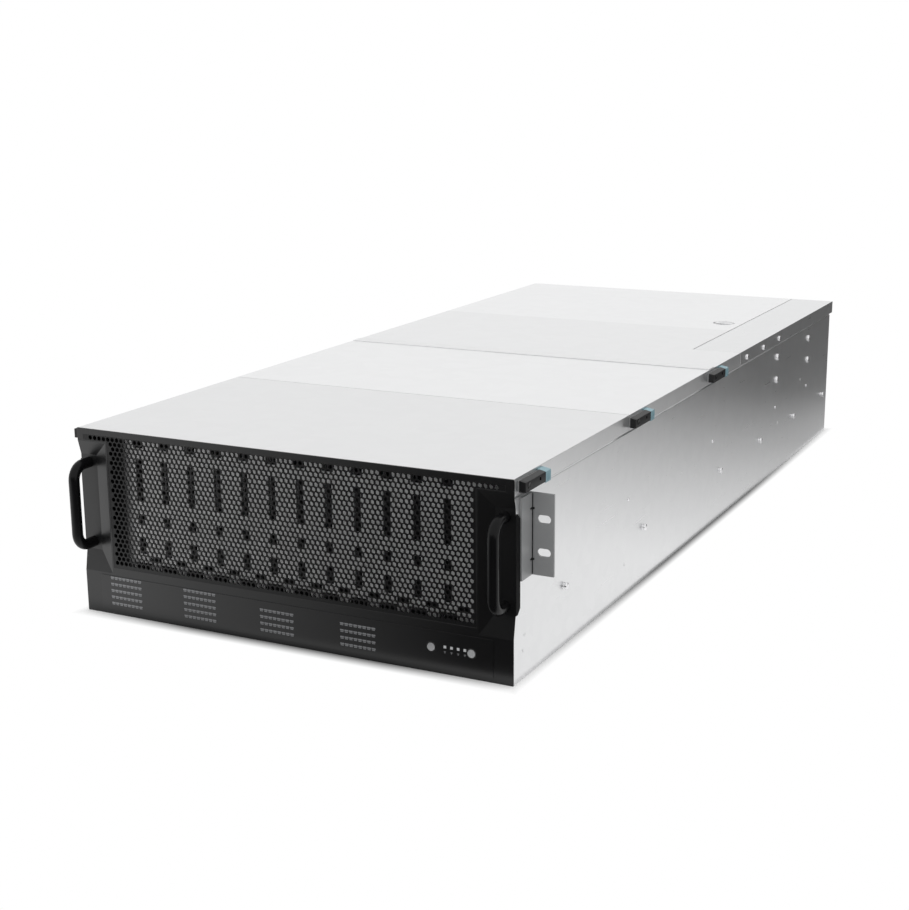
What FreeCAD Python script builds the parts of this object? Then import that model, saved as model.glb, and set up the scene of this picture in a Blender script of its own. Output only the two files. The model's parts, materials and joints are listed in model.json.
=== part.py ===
import FreeCAD
import Part
import math
import os
import re
import Sketcher

# A 4U rack storage server with three lift-off covers over top-loading drives.
# x runs to the right, y from the bezel's front face to the back, z up from the base.
# Each finished piece is moved along y, so that the origin lies under the object's middle.

driving = [
    ("chassis_width", 440, "across the side walls"),
    ("chassis_height", 176, "base to cover top, four rack units"),
    ("sheet_thick", 1.2, "chassis and cover sheet"),
    ("clearance", 0.3, "clearance between pieces that move apart"),
    ("wall_flange", 15, "inward flange on top of a side wall"),
    ("joggle_rise", 1.5, "height of the side wall's inward step"),
    ("pan_flange", 12, "upturned edges of the base pan"),
    ("skirt_drop", 15, "height of a cover's side skirt"),
    ("skirt_setback", 1.5, "front cover's edge to its skirts"),
    ("seam_gap", 1.0, "gap between neighbouring covers"),
    ("rear_overhang", 13, "roof past the rear panel"),
    ("lip_drop", 12, "roof's downturned rear lip"),
    ("strip_width", 55, "fixed roof strip over the power supplies"),
    ("duct_gap", 33, "fan wall to the roof strip"),
    ("rear_bay", 440.8, "fan wall to the rear panel's back face"),
    ("bezel_thick", 1.5, "bezel and grille sheet"),
    ("well_depth", 3.6, "handle well behind the bezel's face"),
    ("well_floor_width", 18, "flat floor of a handle well"),
    ("well_slope", 13.4, "sloping inner flank of a handle well"),
    ("well_low", 40, "lower edge of a well at the face"),
    ("well_floor_low", 60, "lower edge of the well floor"),
    ("well_head", 12, "cover top to a well"),
    ("well_top", "=chassis_height - well_head", "upper edge of a well at the face"),
    ("well_brow", 13, "height of a well's upper flank"),
    ("well_floor_top", "=well_top - well_brow", "upper edge of the well floor"),
    ("cheek_deep", 12, "bezel's side cheeks, back from its face"),
    ("cheek_thick", 1.0, "side cheek of the bezel"),
    ("cheek_bevel", 5, "cut-off corners of a side cheek"),
    ("grille_margin", 2, "web between grille field and well"),
    ("grille_low", 46, "lower edge of the grille field"),
    ("grille_head", 5.6, "cover top to the grille field"),
    ("grille_top", "=chassis_height - grille_head", "upper edge of the grille field"),
    ("grille_brow", 4.8, "height of the widened field"),
    ("grille_shoulder", "=grille_top - grille_brow", "where the grille field widens"),
    ("grille_head_margin", 7, "bezel end to the widened field"),
    ("cell_pitch", 22, "honeycomb pitch"),
    ("cell_web", 2.8, "web between honeycomb cells"),
    ("cell_margin", 2.5, "plain rim round the honeycomb"),
    ("cage_wall_y", 10, "front face of the slotted cage wall"),
    ("cage_wall_thick", 1.0, "slotted cage wall"),
    ("cage_space", 10, "slotted cage wall to the drive bank"),
    ("slot_width", 7.3, "slots of the cage wall"),
    ("slot_foot_low", 45, "foot slot, lower end"),
    ("slot_foot_top", 51.5, "foot slot, upper end"),
    ("slot_foot_width", 17, "foot slot"),
    ("slot_flat_low", 53, "flat slot between the columns, lower end"),
    ("slot_flat_top", 58, "flat slot between the columns, upper end"),
    ("slot_flat_width", 11.6, "flat slot between the columns"),
    ("slot_short_low", 60, "short slot, lower end"),
    ("slot_short_top", 75.5, "short slot, upper end"),
    ("slot_mid_low", 87.5, "square slot, lower end"),
    ("slot_mid_top", 97, "square slot, upper end"),
    ("slot_long_low", 111, "long slot, lower end"),
    ("notch_head", 9, "cover top to the top notches"),
    ("notch_tall", 6.5, "top notch"),
    ("notch_top", "=chassis_height - notch_head", "top notch, upper end"),
    ("notch_low", "=notch_top - notch_tall", "top notch, lower end"),
    ("slot_gap", 10, "long slot to top notch"),
    ("slot_long_top", "=notch_low - slot_gap", "long slot, upper end"),
    ("notch_width", 11, "top notch"),
    ("overlay_thick", 0.4, "status film"),
    ("overlay_margin", 18, "status film's end to the bezel's end"),
    ("overlay_low", 4.4, "status film, lower edge"),
    ("overlay_top", 37.8, "status film, upper edge"),
    ("block_inset", 10.5, "film's left end to the first window block"),
    ("control_room", 64.3, "film's right end to the window blocks"),
    ("film_long", "=chassis_width - 2*overlay_margin", "status film"),
    ("block_pitch", "=(film_long - block_inset - control_room)/4", "window block to window block"),
    ("block_space", 46.7, "free film between window blocks"),
    ("window_length", "=block_pitch - block_space", "one row of status windows"),
    ("window_height", 1.8, "one row of status windows"),
    ("window_pitch", 6.2, "row to row"),
    ("window_first", 10.8, "height of the lowest row"),
    ("light_size", 2.4, "square indicator light"),
    ("light_pitch", 6.2, "indicator to indicator"),
    ("light_z", 24.5, "height of the indicators"),
    ("light_inset", 26, "film's right end to the last indicator"),
    ("button_dia", 7.7, "push button"),
    ("button_rim", 0.7, "button's retaining rim"),
    ("button_z", 22.6, "height of the buttons"),
    ("button_inset", 19.9, "film's right end to the right button"),
    ("button_spacing", 37.7, "button to button"),
    ("button_travel", 1.5, "push of a button"),
    ("button_proud", 0.8, "button in front of the film"),
    ("board_gap", 5.5, "bezel to the light board"),
    ("board_thick", 1.6, "circuit boards"),
    ("post_wide", 6, "posts behind the bezel, stand-offs under boards"),
    ("handle_dia", 10, "handle bar"),
    ("handle_reach", 24, "handle's front in front of the bezel"),
    ("handle_room", 15, "well floor's height past the handle legs"),
    ("handle_centres", "=well_floor_top - well_floor_low - handle_room", "handle leg to handle leg"),
    ("handle_lift", 0, "well floor's middle to the handle's middle"),
    ("handle_mid", "=(well_floor_low + well_floor_top)/2 + handle_lift", "handle's middle height"),
    ("handle_bend", 11, "bend radius of the handle bar"),
    ("ear_setback", 33, "rack flange behind the bezel's face"),
    ("ear_thick", 2, "rack ear sheet"),
    ("ear_head", 18, "cover top to the rack flange"),
    ("ear_tall", 70.5, "rack flange"),
    ("ear_top", "=chassis_height - ear_head", "rack flange, upper edge"),
    ("ear_low", "=ear_top - ear_tall", "rack flange, lower edge"),
    ("ear_width", 21.3, "rack flange out of the side wall"),
    ("relief_inset", 13.5, "flange edges to the bend reliefs"),
    ("relief_low", "=ear_low + relief_inset", "lower bend relief of the ear"),
    ("relief_top", "=ear_top - relief_inset", "upper bend relief of the ear"),
    ("relief_tall", 2, "bend relief"),
    ("relief_deep", 4, "bend relief"),
    ("rack_slot_out", 12.55, "side wall to the rack slots"),
    ("rack_slot_inset", 19.9, "flange's lower edge to the lower rack slot"),
    ("rack_slot_low", "=ear_low + rack_slot_inset", "height of the lower rack slot"),
    ("rack_slot_spacing", 28.6, "rack slot to rack slot"),
    ("rack_slot_length", 12, "rack slot, end to end"),
    ("rack_slot_width", 7, "rack slot"),
    ("stud_z", 55, "height of the slide rail studs"),
    ("stud_dia", 7, "head of a rail stud"),
    ("stud_neck_dia", 5, "neck of a rail stud"),
    ("stud_reach", 4, "rail stud out of the wall"),
    ("stud_front_one", 106, "first rail stud from the front"),
    ("stud_front_two", 303, "second rail stud from the front"),
    ("stud_rear_one", 27, "last rail stud from the rear"),
    ("stud_rear_two", 173, "next rail stud from the rear"),
    ("stud_rear_three", 320, "third rail stud from the rear"),
    ("stud_rear_four", 475, "fourth rail stud from the rear"),
    ("screw_dia", 6, "pan-head screw"),
    ("screw_tall", 1.6, "pan-head screw"),
    ("beam_screw_z", 94, "screws of the bulkhead beams"),
    ("cage_screw_head", 31, "cover top to the supply cage's screws"),
    ("cage_screw_top", "=chassis_height - cage_screw_head", "upper screws of the supply cage"),
    ("cage_screw_drop", 28, "upper to lower screws of that cage"),
    ("cage_screw_rear", 110, "rear panel to the cage's last screws"),
    ("cage_screw_pitch", 145, "cage screws along the wall"),
    ("strip_screw_first", 25, "roof strip's front to its first screw"),
    ("strip_screw_pitch", 66.5, "screws of the roof strip"),
    ("strip_screw_drop", 9, "roof top to the strip's screws"),
    ("beam_width", 38, "bulkhead beam under a cover seam"),
    ("beam_window_width", 47, "air opening of a beam, two drives wide"),
    ("beam_window_low", 30, "air opening, lower edge"),
    ("beam_window_top", 150, "air opening, upper edge"),
    ("drive_offset", -2, "middle of the drive field"),
    ("drive_pitch", 28.63, "drive column to drive column"),
    ("drive_columns", 12, "drives across"),
    ("drive_rows", 2, "rows of drives under a cover"),
    ("row_pitch", 104, "drive row to drive row"),
    ("bank_gap", 6, "free space before and behind a bank"),
    ("drive_wide", 26.1, "drive thickness"),
    ("drive_deep", 101.6, "drive width, along y"),
    ("drive_head", 9, "cover top to the drives"),
    ("drive_base", 20, "height of a drive's foot"),
    ("drive_tall", "=chassis_height - drive_head - drive_base", "drive length, upright"),
    ("carrier_tall", 5, "carrier cap on a drive"),
    ("carrier_rim", 4, "rim round the carrier's finger slot"),
    ("guide_thick", 0.8, "drive guide plate"),
    ("guide_top", 110, "upper edge of the guide plates"),
    ("backplane_z", 6, "underside of the backplanes"),
    ("socket_wide", 8, "drive socket"),
    ("socket_long", 44, "drive socket"),
    ("fan_side", 25, "chassis side to the outer fans' room"),
    ("fan_pitch", "=(chassis_width - 2*fan_side)/3", "fan to fan"),
    ("fan_spacing", 10, "free width between fans"),
    ("fan_size", "=fan_pitch - fan_spacing", "square fan frame"),
    ("fan_depth", 38, "fan frame"),
    ("fan_gap", 3, "beam to fan"),
    ("fan_low", 28, "lower edge of the fans"),
    ("fan_rim", 2, "fan frame at its thinnest"),
    ("fan_bore_dia", "=fan_size - 2*fan_rim", "air way of a fan"),
    ("fan_lap", 6, "fan wall over a fan's edge"),
    ("fan_window", "=fan_size - 2*fan_lap", "air opening of the fan wall"),
    ("blade_gap", 3, "blade ends to the air way"),
    ("rotor_dia", "=fan_bore_dia - 2*blade_gap", "across the blade ends"),
    ("rotor_length", 24, "rotor along its shaft"),
    ("hub_dia", 50, "rotor hub and motor base"),
    ("motor_base", 4, "motor base and struts of a fan"),
    ("strut_width", 5, "fan strut"),
    ("shaft_dia", 6, "fan shaft"),
    ("blade_count", 7, "blades of a rotor"),
    ("blade_chord", 29, "blade width"),
    ("blade_thick", 1.8, "blade"),
    ("blade_angle", 38, "blade pitch"),
    ("main_board_wide", 305, "main board across"),
    ("main_board_long", 330, "main board along"),
    ("main_board_side", 28, "side wall to main board"),
    ("main_board_back", 6, "main board to rear panel"),
    ("main_board_z", 8, "underside of the main board"),
    ("sink_wide", 78, "heat sink"),
    ("sink_long", 104, "heat sink"),
    ("sink_tall", 64, "heat sink"),
    ("sink_base", 6, "heat sink's base plate"),
    ("sink_fins", 13, "fins of a heat sink"),
    ("fin_thick", 1.6, "heat sink fin"),
    ("sink_first", 85, "board's left edge to the first sink's middle"),
    ("sink_pitch", 135, "heat sink to heat sink"),
    ("sink_front", 56, "board's front edge to the heat sinks"),
    ("memory_long", 133, "memory module"),
    ("memory_tall", 31, "memory module"),
    ("memory_thick", 1.4, "memory module"),
    ("memory_pitch", 9, "memory module to module"),
    ("memory_socket", 7, "memory socket, wide and tall"),
    ("card_long", 160, "expansion card"),
    ("card_tall", 98, "expansion card"),
    ("card_socket", 11, "height of an expansion socket"),
    ("card_first", 60, "board's left edge to the first card"),
    ("card_pitch", 40.6, "card to card"),
    ("bracket_wide", 18, "card bracket"),
    ("bracket_tall", 118, "card bracket"),
    ("port_wide", 16, "port shell"),
    ("port_tall", 13.5, "port shell"),
    ("port_long", 22, "port shell"),
    ("port_wall", 1.4, "port shell wall"),
    ("port_inset", 27, "board's right edge to the last port"),
    ("port_pitch", 24, "port to port"),
    ("vent_width", 4, "rear panel air slot"),
    ("vent_pitch", 9, "air slot to air slot"),
    ("vent_head", 14, "cover top to the air slots"),
    ("vent_tall", 50, "rear panel air slot"),
    ("vent_top", "=chassis_height - vent_head", "air slots, upper end"),
    ("vent_low", "=vent_top - vent_tall", "air slots, lower end"),
    ("psu_wide", 39, "power supply across"),
    ("psu_head", 18.6, "cover top to the upper supply"),
    ("psu_long", 265, "power supply along"),
    ("psu_base", 8, "top of the lower supply shelf"),
    ("psu_room", "=chassis_height - psu_head - psu_base", "both supplies and the shelf between"),
    ("psu_tall", "=(psu_room - sheet_thick - 4*clearance)/2", "power supply height"),
    ("psu_handle_reach", 24, "supply handle behind the rear panel"),
    ("psu_handle_tall", 58, "supply handle"),
    ("psu_handle_thick", 3, "supply handle"),
    ("psu_handle_bar", 7, "grip of the supply handle"),
    ("inlet_wide", 26, "mains inlet"),
    ("inlet_tall", 19, "mains inlet"),
    ("inlet_deep", 15, "mains inlet"),
    ("inlet_low", 7, "supply's base to its inlet"),
    ("outlet_margin", 7.25, "round a supply's fan outlet"),
    ("psu_fan_dia", "=psu_tall - inlet_low - inlet_tall - 2*outlet_margin", "fan outlet of a supply"),
    ("psu_fan_deep", 5, "fan outlet of a supply"),
    ("psu_fan_low", "=inlet_low + inlet_tall + outlet_margin + psu_fan_dia/2", "supply's base to its fan"),
    ("release_long", 13, "supply release latch behind the panel"),
    ("release_tall", 16, "supply release latch"),
    ("release_thick", 2, "supply release latch"),
    ("release_knuckle", 3, "pivot knuckle of that latch"),
    ("release_low", 28, "supply's base to its latch"),
    ("plug_long", 9, "power board socket"),
    ("lever_long", 40, "cover latch lever"),
    ("lever_tall", 10, "cover latch lever"),
    ("lever_thick", 8, "cover latch lever"),
    ("lever_chamfer", 2.2, "outer top edge of a lever"),
    ("lever_drop", 1.5, "cover top to lever top"),
    ("lever_front_offset", 4, "front cover's edge to its levers"),
    ("lever_middle_offset", -5, "middle cover's edge to its levers"),
    ("lever_rear_offset", -27.5, "middle cover's rear edge to its rear levers"),
    ("pivot_inset", 7, "lever's front end to its pivot"),
    ("pivot_dia", 4, "lever pivot"),
    ("tab_long", 11, "pale tab of a lever"),
    ("tab_over", 1, "tab past the lever's lower edge"),
    ("lock_inset", 24, "roof strip to the turn lock's middle"),
    ("lock_setback", 232, "roof's rear end to the turn lock"),
    ("lock_cup_dia", 27, "cup of the turn lock"),
    ("lock_dia", 24, "turn lock"),
    ("lock_deep", 8, "cup depth"),
    ("lock_plate", 2, "turn lock's round plate"),
    ("lock_bar", 5, "turn lock's finger bar"),
]

doc = FreeCAD.newDocument("StorageServer")
sheet = doc.addObject("Spreadsheet::Sheet", "Sizes")
for row, (alias, value, meaning) in enumerate(driving, start=1):
    sheet.set("A%d" % row, alias)
    sheet.set("B%d" % row, str(value))
    sheet.set("C%d" % row, meaning)
    sheet.setAlias("B%d" % row, alias)
doc.recompute()

size = {alias: sheet.get(alias) for alias, value, meaning in driving}
spot = {}
nodes = []
vector = FreeCAD.Vector
small_sides = 8
button_sides = 16
wide_sides = 24


def bind(thing, prop, formula):
    # A formula names sheet cells and depth stations by their bare words.
    def full(word):
        name = word[0]
        if name in size:
            return "Sizes." + name
        if name in spot:
            return "(" + name + ".Y / 1 mm)"
        return name
    thing.setExpression(prop, re.sub(r"[a-z][a-z_]*", full, str(formula)))


def station(name, formula):
    # A named place along the depth, kept as a reference point.
    point = doc.addObject("Part::Vertex", name)
    bind(point, "Y", formula)
    doc.recompute()
    spot[name] = point.Y.Value


def box(name, x, y, z):
    solid = doc.addObject("Part::Box", name)
    for side, axis, (low, high) in zip(("Length", "Width", "Height"), "xyz", (x, y, z)):
        bind(solid, "Placement.Base." + axis, low)
        bind(solid, side, "(%s) - (%s)" % (high, low))
    return solid


def rod(name, axis, foot, diameter, length, sides=0):
    # Round bar, or one of many flat sides where roundness has no work to do.
    turn = {
        "x": FreeCAD.Rotation(vector(0, 1, 0), 90),
        "y": FreeCAD.Rotation(vector(1, 0, 0), -90),
        "z": FreeCAD.Rotation(),
    }
    solid = doc.addObject("Part::Prism" if sides else "Part::Cylinder", name)
    solid.Placement = FreeCAD.Placement(vector(), turn[axis])
    for letter, formula in zip("xyz", foot):
        bind(solid, "Placement.Base." + letter, formula)
    bind(solid, "Height", length)
    if sides:
        solid.Polygon = sides
        bind(solid, "Circumradius", "(%s)/2/cos(180 deg/%d)" % (diameter, sides))
    else:
        bind(solid, "Radius", "(%s)/2" % diameter)
    return solid


def outline(sketch, points):
    # Closed straight outline whose corners are placed by formulas.
    count = len(points)
    rough = [vector(math.cos(2 * math.pi * k / count), math.sin(2 * math.pi * k / count), 0)
             for k in range(count)]
    for k in range(count):
        sketch.addGeometry(Part.LineSegment(rough[k], rough[(k + 1) % count]))
    for k in range(count):
        sketch.addConstraint(Sketcher.Constraint("Coincident", k, 2, (k + 1) % count, 1))
    for k, corner in enumerate(points):
        for kind, formula, first in zip(("DistanceX", "DistanceY"), corner, (rough[k].x, rough[k].y)):
            index = sketch.addConstraint(Sketcher.Constraint(kind, -1, 1, k, 1, first))
            bind(sketch, "Constraints[%d]" % index, formula)


def extrusion(name, plane, points, low, high):
    # Sheet-metal section or plate outline, padded along the plane's normal.
    body = doc.addObject("PartDesign::Body", name)
    sketch = body.newObject("Sketcher::SketchObject", name + "Sketch")
    base = [feature for feature in body.Origin.OriginFeatures if feature.Role == plane][0]
    sketch.AttachmentSupport = [(base, "")]
    sketch.MapMode = "FlatFace"
    outline(sketch, points)
    pad = body.newObject("PartDesign::Pad", name + "Pad")
    pad.Profile = sketch
    pad.Reversed = plane == "XZ_Plane"
    bind(pad, "Length", "(%s) - (%s)" % (high, low))
    axis = {"XZ_Plane": "y", "YZ_Plane": "x", "XY_Plane": "z"}[plane]
    bind(body, "Placement.Base." + axis, low)
    return body


def group(name, parts):
    bundle = doc.addObject("Part::Compound", name)
    bundle.Links = parts
    return bundle


def fuse(name, *parts):
    joined = doc.addObject("Part::MultiFuse", name)
    joined.Shapes = list(parts)
    return joined


def cut(name, base, *tools):
    left = doc.addObject("Part::Cut", name)
    left.Base = base
    left.Tool = tools[0] if len(tools) == 1 else group(name + "Tools", list(tools))
    return left


def mirror(name, source):
    twin = doc.addObject("Part::Mirroring", name)
    twin.Source = source
    twin.Normal = vector(1, 0, 0)
    return twin


def shaped(name, shapes):
    feature = doc.addObject("Part::Feature", name)
    feature.Shape = shapes[0] if len(shapes) == 1 else Part.makeCompound(shapes)
    return feature


def piece(label, *parts):
    # A finished sub-part, moved so that the origin lies under the middle of the object.
    part = group("Piece_" + label, list(parts))
    part.Label = label
    bind(part, "Placement.Base.y", "(handle_reach - depth - psu_handle_reach)/2")
    nodes.append(part)
    return part


def block(x, y, z):
    return Part.makeBox(x[1] - x[0], y[1] - y[0], z[1] - z[0], vector(x[0], y[0], z[0]))


half = "chassis_width/2"
inside = "(chassis_width/2 - sheet_thick)"
roof_under = "(chassis_height - sheet_thick)"
seat_top = "(chassis_height - sheet_thick - clearance)"
skirt_low = "(chassis_height - skirt_drop)"

# Stations along the depth, from the bezel's front face
bank_length = "(2*bank_gap + drive_rows*row_pitch)"
station("cage_back", "cage_wall_y + cage_wall_thick")
station("bank_front", "cage_back + cage_space")
station("beam_one", "bank_front + " + bank_length)
station("seam_front", "beam_one + beam_width/2")
station("beam_two", "beam_one + beam_width + " + bank_length)
station("seam_rear", "beam_two + beam_width/2")
station("fan_front", "beam_two + beam_width + fan_gap")
station("fan_back", "fan_front + fan_depth")
station("strip_start", "fan_back + sheet_thick + duct_gap")
station("depth", "fan_back + sheet_thick + rear_bay")
station("rear_inner", "depth - sheet_thick")
station("roof_end", "depth + rear_overhang")
station("psu_front", "depth - psu_long")
station("board_back", "rear_inner - main_board_back")
station("board_front", "board_back - main_board_long")


def well(name, front):
    # Handle well at the bezel's right end: a pocket with sloping flanks, open to the side.
    pocket = doc.addObject("Part::Wedge", name)
    floor_inner = half + " - well_floor_width"
    bounds = {
        "Xmin": floor_inner + " - well_slope", "X2min": floor_inner,
        "Xmax": half + " + well_floor_width", "X2max": half + " + well_floor_width",
        "Zmin": "well_low", "Z2min": "well_floor_low",
        "Zmax": "well_top", "Z2max": "well_floor_top",
        "Ymin": "0", "Ymax": "well_depth",
    }
    pocket.Xmax = size["chassis_width"]
    pocket.X2max = size["chassis_width"]
    pocket.Zmax = size["chassis_height"]
    pocket.Z2max = size["chassis_height"]
    for prop, formula in bounds.items():
        bind(pocket, prop, formula)
    bind(pocket, "Placement.Base.y", front)
    return pocket


def well_pair(name, front):
    right = well(name + "Right", front)
    return right, mirror(name + "Left", right)


def base_pan():
    flank = inside + " - sheet_thick"
    section = [
        ("-" + inside, "0"), (inside, "0"), (inside, "pan_flange"), (flank, "pan_flange"),
        (flank, "sheet_thick"), ("-(%s)" % flank, "sheet_thick"),
        ("-(%s)" % flank, "pan_flange"), ("-" + inside, "pan_flange"),
    ]
    piece("base_pan", extrusion("Pan", "XZ_Plane", section, "bezel_thick", "rear_inner"))


def side_walls():
    # The upper edge steps inwards, so that the cover skirts lie flush with the wall.
    stepped = half + " - sheet_thick - clearance"
    shoulder = skirt_low + " - clearance"
    section = [
        (half, "0"), (half, shoulder + " - joggle_rise"), (stepped, shoulder), (stepped, seat_top),
        (half + " - wall_flange", seat_top), (half + " - wall_flange", seat_top + " - sheet_thick"),
        (stepped + " - sheet_thick", seat_top + " - sheet_thick"), (stepped + " - sheet_thick", shoulder),
        (inside, shoulder + " - joggle_rise"), (inside, "0"),
    ]
    wall = extrusion("WallSection", "XZ_Plane", section, "bezel_thick", "depth")
    right = cut("WallRight", wall, well("WallWell", "bezel_thick"))
    piece("right_side_wall", right)
    piece("left_side_wall", mirror("WallLeft", right))


def upright_panel(name, low, high):
    # Panel between the side walls, stepped round the pan's edges and the walls' inward step.
    step = skirt_low + " - 2*clearance - joggle_rise"
    top = seat_top + " - sheet_thick - clearance"
    flank = inside + " - sheet_thick"
    right = [
        (flank, "sheet_thick"), (flank, "pan_flange + clearance"), (inside, "pan_flange + clearance"),
        (inside, step), (flank + " - 2*clearance", step), (flank + " - 2*clearance", top),
    ]
    left = [("-(%s)" % x, z) for x, z in reversed(right)]
    return extrusion(name, "XZ_Plane", right + left, low, high)


def grille_field(name, low, high):
    main = half + " - well_floor_width - well_slope - grille_margin"
    head = half + " - grille_head_margin"
    right = [(main, "grille_low"), (main, "grille_shoulder"), (head, "grille_shoulder"), (head, "grille_top")]
    left = [("-(%s)" % x, z) for x, z in reversed(right)]
    return extrusion(name, "XZ_Plane", right + left, low, high)


def window_rows():
    # Eighteen light-guide rows in four blocks, five rows in the left two and four in the others.
    first = -size["chassis_width"] / 2 + size["overlay_margin"] + size["block_inset"]
    rows = []
    for number, count in enumerate((5, 5, 4, 4)):
        left = first + number * size["block_pitch"]
        for level in range(count):
            low = size["window_first"] + level * size["window_pitch"] - size["window_height"] / 2
            rows.append(block((left, left + size["window_length"]),
                              (-size["overlay_thick"], size["bezel_thick"]),
                              (low, low + size["window_height"])))
    return shaped("WindowRows", rows)


def light(name, number, along, slack):
    # One of the four square light guides, or its hole with some slack all round.
    x = "chassis_width/2 - overlay_margin - light_inset - %d*light_pitch" % number
    reach = "(light_size/2 + %s)" % slack
    return box(name, (x + " - " + reach, x + " + " + reach), along,
               ("light_z - " + reach, "light_z + " + reach))


button_right = "(chassis_width/2 - overlay_margin - button_inset)"
button_left = "(chassis_width/2 - overlay_margin - button_inset - button_spacing)"
board_face = "(bezel_thick + board_gap)"


def front_openings(name):
    # Holes for the indicator lights and the two buttons, through bezel and film.
    length = "overlay_thick + 2*bezel_thick + clearance"
    holes = [rod(name + "Button%d" % k, "y", (x, "-overlay_thick - clearance", "button_z"),
                 "button_dia + 2*clearance", length, button_sides)
             for k, x in enumerate((button_left, button_right))]
    lights = [light(name + "Light%d" % k, k, ("-overlay_thick - clearance", "2*bezel_thick"), "clearance/2")
              for k in range(4)]
    return holes + lights


def front_panel():
    # The bezel is one formed sheet: the solid behind its face, less the same solid set back.
    face = box("BezelFront", ("-" + half, half), ("0", "well_depth + bezel_thick"), ("0", "chassis_height"))
    front = cut("BezelFormed", face, *well_pair("BezelWell", "0"))
    back_box = box("BezelBack", ("-" + half, half), ("bezel_thick", "well_depth + 2*bezel_thick"),
                   ("0", "chassis_height"))
    back = cut("BezelSetBack", back_box, *well_pair("BezelWellBack", "bezel_thick"))
    sheet_form = cut("BezelSheet", front, back)
    windows = window_rows()
    opened = cut("BezelOpened", sheet_form, grille_field("FieldOpening", "-bezel_thick", "2*bezel_thick"),
                 windows, *front_openings("Bezel"))
    first_gap = "-chassis_width/2 + overlay_margin + block_inset + (block_pitch + window_length)/2"
    post_x = first_gap + " + %d*block_pitch"
    posts = [box("Post%d" % k, (post_x % k + " - post_wide/2", post_x % k + " + post_wide/2"),
                 ("bezel_thick", board_face), ("window_first", "window_first + 3*window_pitch"))
             for k in (0, 3)]
    profile = [
        ("well_depth", "well_floor_low"), ("cheek_deep - cheek_bevel", "well_floor_low"),
        ("cheek_deep", "well_floor_low + cheek_bevel"), ("cheek_deep", "well_floor_top - 2*cheek_bevel"),
        ("cheek_deep - cheek_bevel", "well_floor_top - cheek_bevel"),
        ("well_depth", "well_floor_top - cheek_bevel"),
    ]
    cheek = extrusion("CheekRight", "YZ_Plane", profile, half, half + " + cheek_thick")
    piece("front_bezel", fuse("Bezel", opened, *posts, cheek, mirror("CheekLeft", cheek)))

    film_end = half + " - overlay_margin"
    film = box("Film", ("-(%s)" % film_end, film_end), ("-overlay_thick", "0"),
               ("overlay_low", "overlay_top"))
    piece("status_overlay", cut("FilmOpened", film, windows, *front_openings("Film")))
    piece("status_windows", windows)
    lights = [light("Light%d" % k, k, ("-overlay_thick", board_face), "0") for k in range(4)]
    piece("indicator_lights", *lights)
    board_end = film_end + " - block_inset/2"
    piece("front_board", box("LightBoard", ("-(%s)" % board_end, board_end),
                             (board_face, board_face + " + board_thick"),
                             ("overlay_low + board_thick", "overlay_top - board_thick")))


def buttons():
    for label, x in (("power_button", button_right), ("locate_button", button_left)):
        cap = rod(label + "Cap", "y", (x, "-overlay_thick - button_proud", "button_z"), "button_dia",
                  "overlay_thick + button_proud + %s - button_travel - clearance" % board_face, button_sides)
        reach = "(button_dia/2 + button_rim)"
        rim = box(label + "Rim", (x + " - " + reach, x + " + " + reach),
                  ("bezel_thick + clearance", "bezel_thick + clearance + button_rim"),
                  ("button_z - " + reach, "button_z + " + reach))
        piece(label, fuse(label + "Solid", cap, rim))


def grille():
    # Honeycomb sheet: staggered six-sided cells inside the field, leaving a plain rim.
    plate = grille_field("GrillePlate", "0", "bezel_thick")
    reach = (size["chassis_width"] / 2 - size["well_floor_width"] - size["well_slope"]
             - size["grille_margin"] - size["cell_margin"])
    low = size["grille_low"] + size["cell_margin"]
    high = size["grille_top"] - size["cell_margin"]
    radius = (size["cell_pitch"] - size["cell_web"]) / math.sqrt(3)
    rise = size["cell_pitch"] * math.sqrt(3) / 2
    rows = int((high - low - 2 * radius) / rise) + 1
    across = int((2 * reach - size["cell_pitch"]) / size["cell_pitch"])
    base = (low + high - (rows - 1) * rise) / 2
    cells = []
    for level in range(rows):
        count = across + 1 - level % 2
        for k in range(count):
            x = (k - (count - 1) / 2) * size["cell_pitch"]
            corners = [vector(x + radius * math.sin(math.pi * n / 3), -size["bezel_thick"],
                              base + level * rise + radius * math.cos(math.pi * n / 3)) for n in range(7)]
            cells.append(Part.Face(Part.makePolygon(corners)).extrude(vector(0, 3 * size["bezel_thick"], 0)))
    piece("front_grille", cut("Grille", plate, shaped("Cells", cells)))


def column(k):
    return size["drive_offset"] + (k - (size["drive_columns"] - 1) / 2) * size["drive_pitch"]


def cage_wall():
    plate = upright_panel("CagePlate", "cage_wall_y", "cage_back")
    between = size["drive_pitch"] / 2
    spans = [("slot_width", "slot_short", 0), ("slot_width", "slot_mid", 0), ("slot_width", "slot_long", 0),
             ("notch_width", "notch", 0), ("slot_foot_width", "slot_foot", 0),
             ("slot_flat_width", "slot_flat", between)]
    through = (spot["cage_back"] - 2 * size["cage_wall_thick"], spot["cage_back"] + size["cage_wall_thick"])
    slots = []
    for k in range(int(size["drive_columns"])):
        for width, span, aside in spans:
            reach = size[width] / 2
            x = column(k) + aside
            slots.append(block((x - reach, x + reach), through, (size[span + "_low"], size[span + "_top"])))
    piece("cage_front_wall", cut("CageWall", plate, shaped("CageSlots", slots)))


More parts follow.
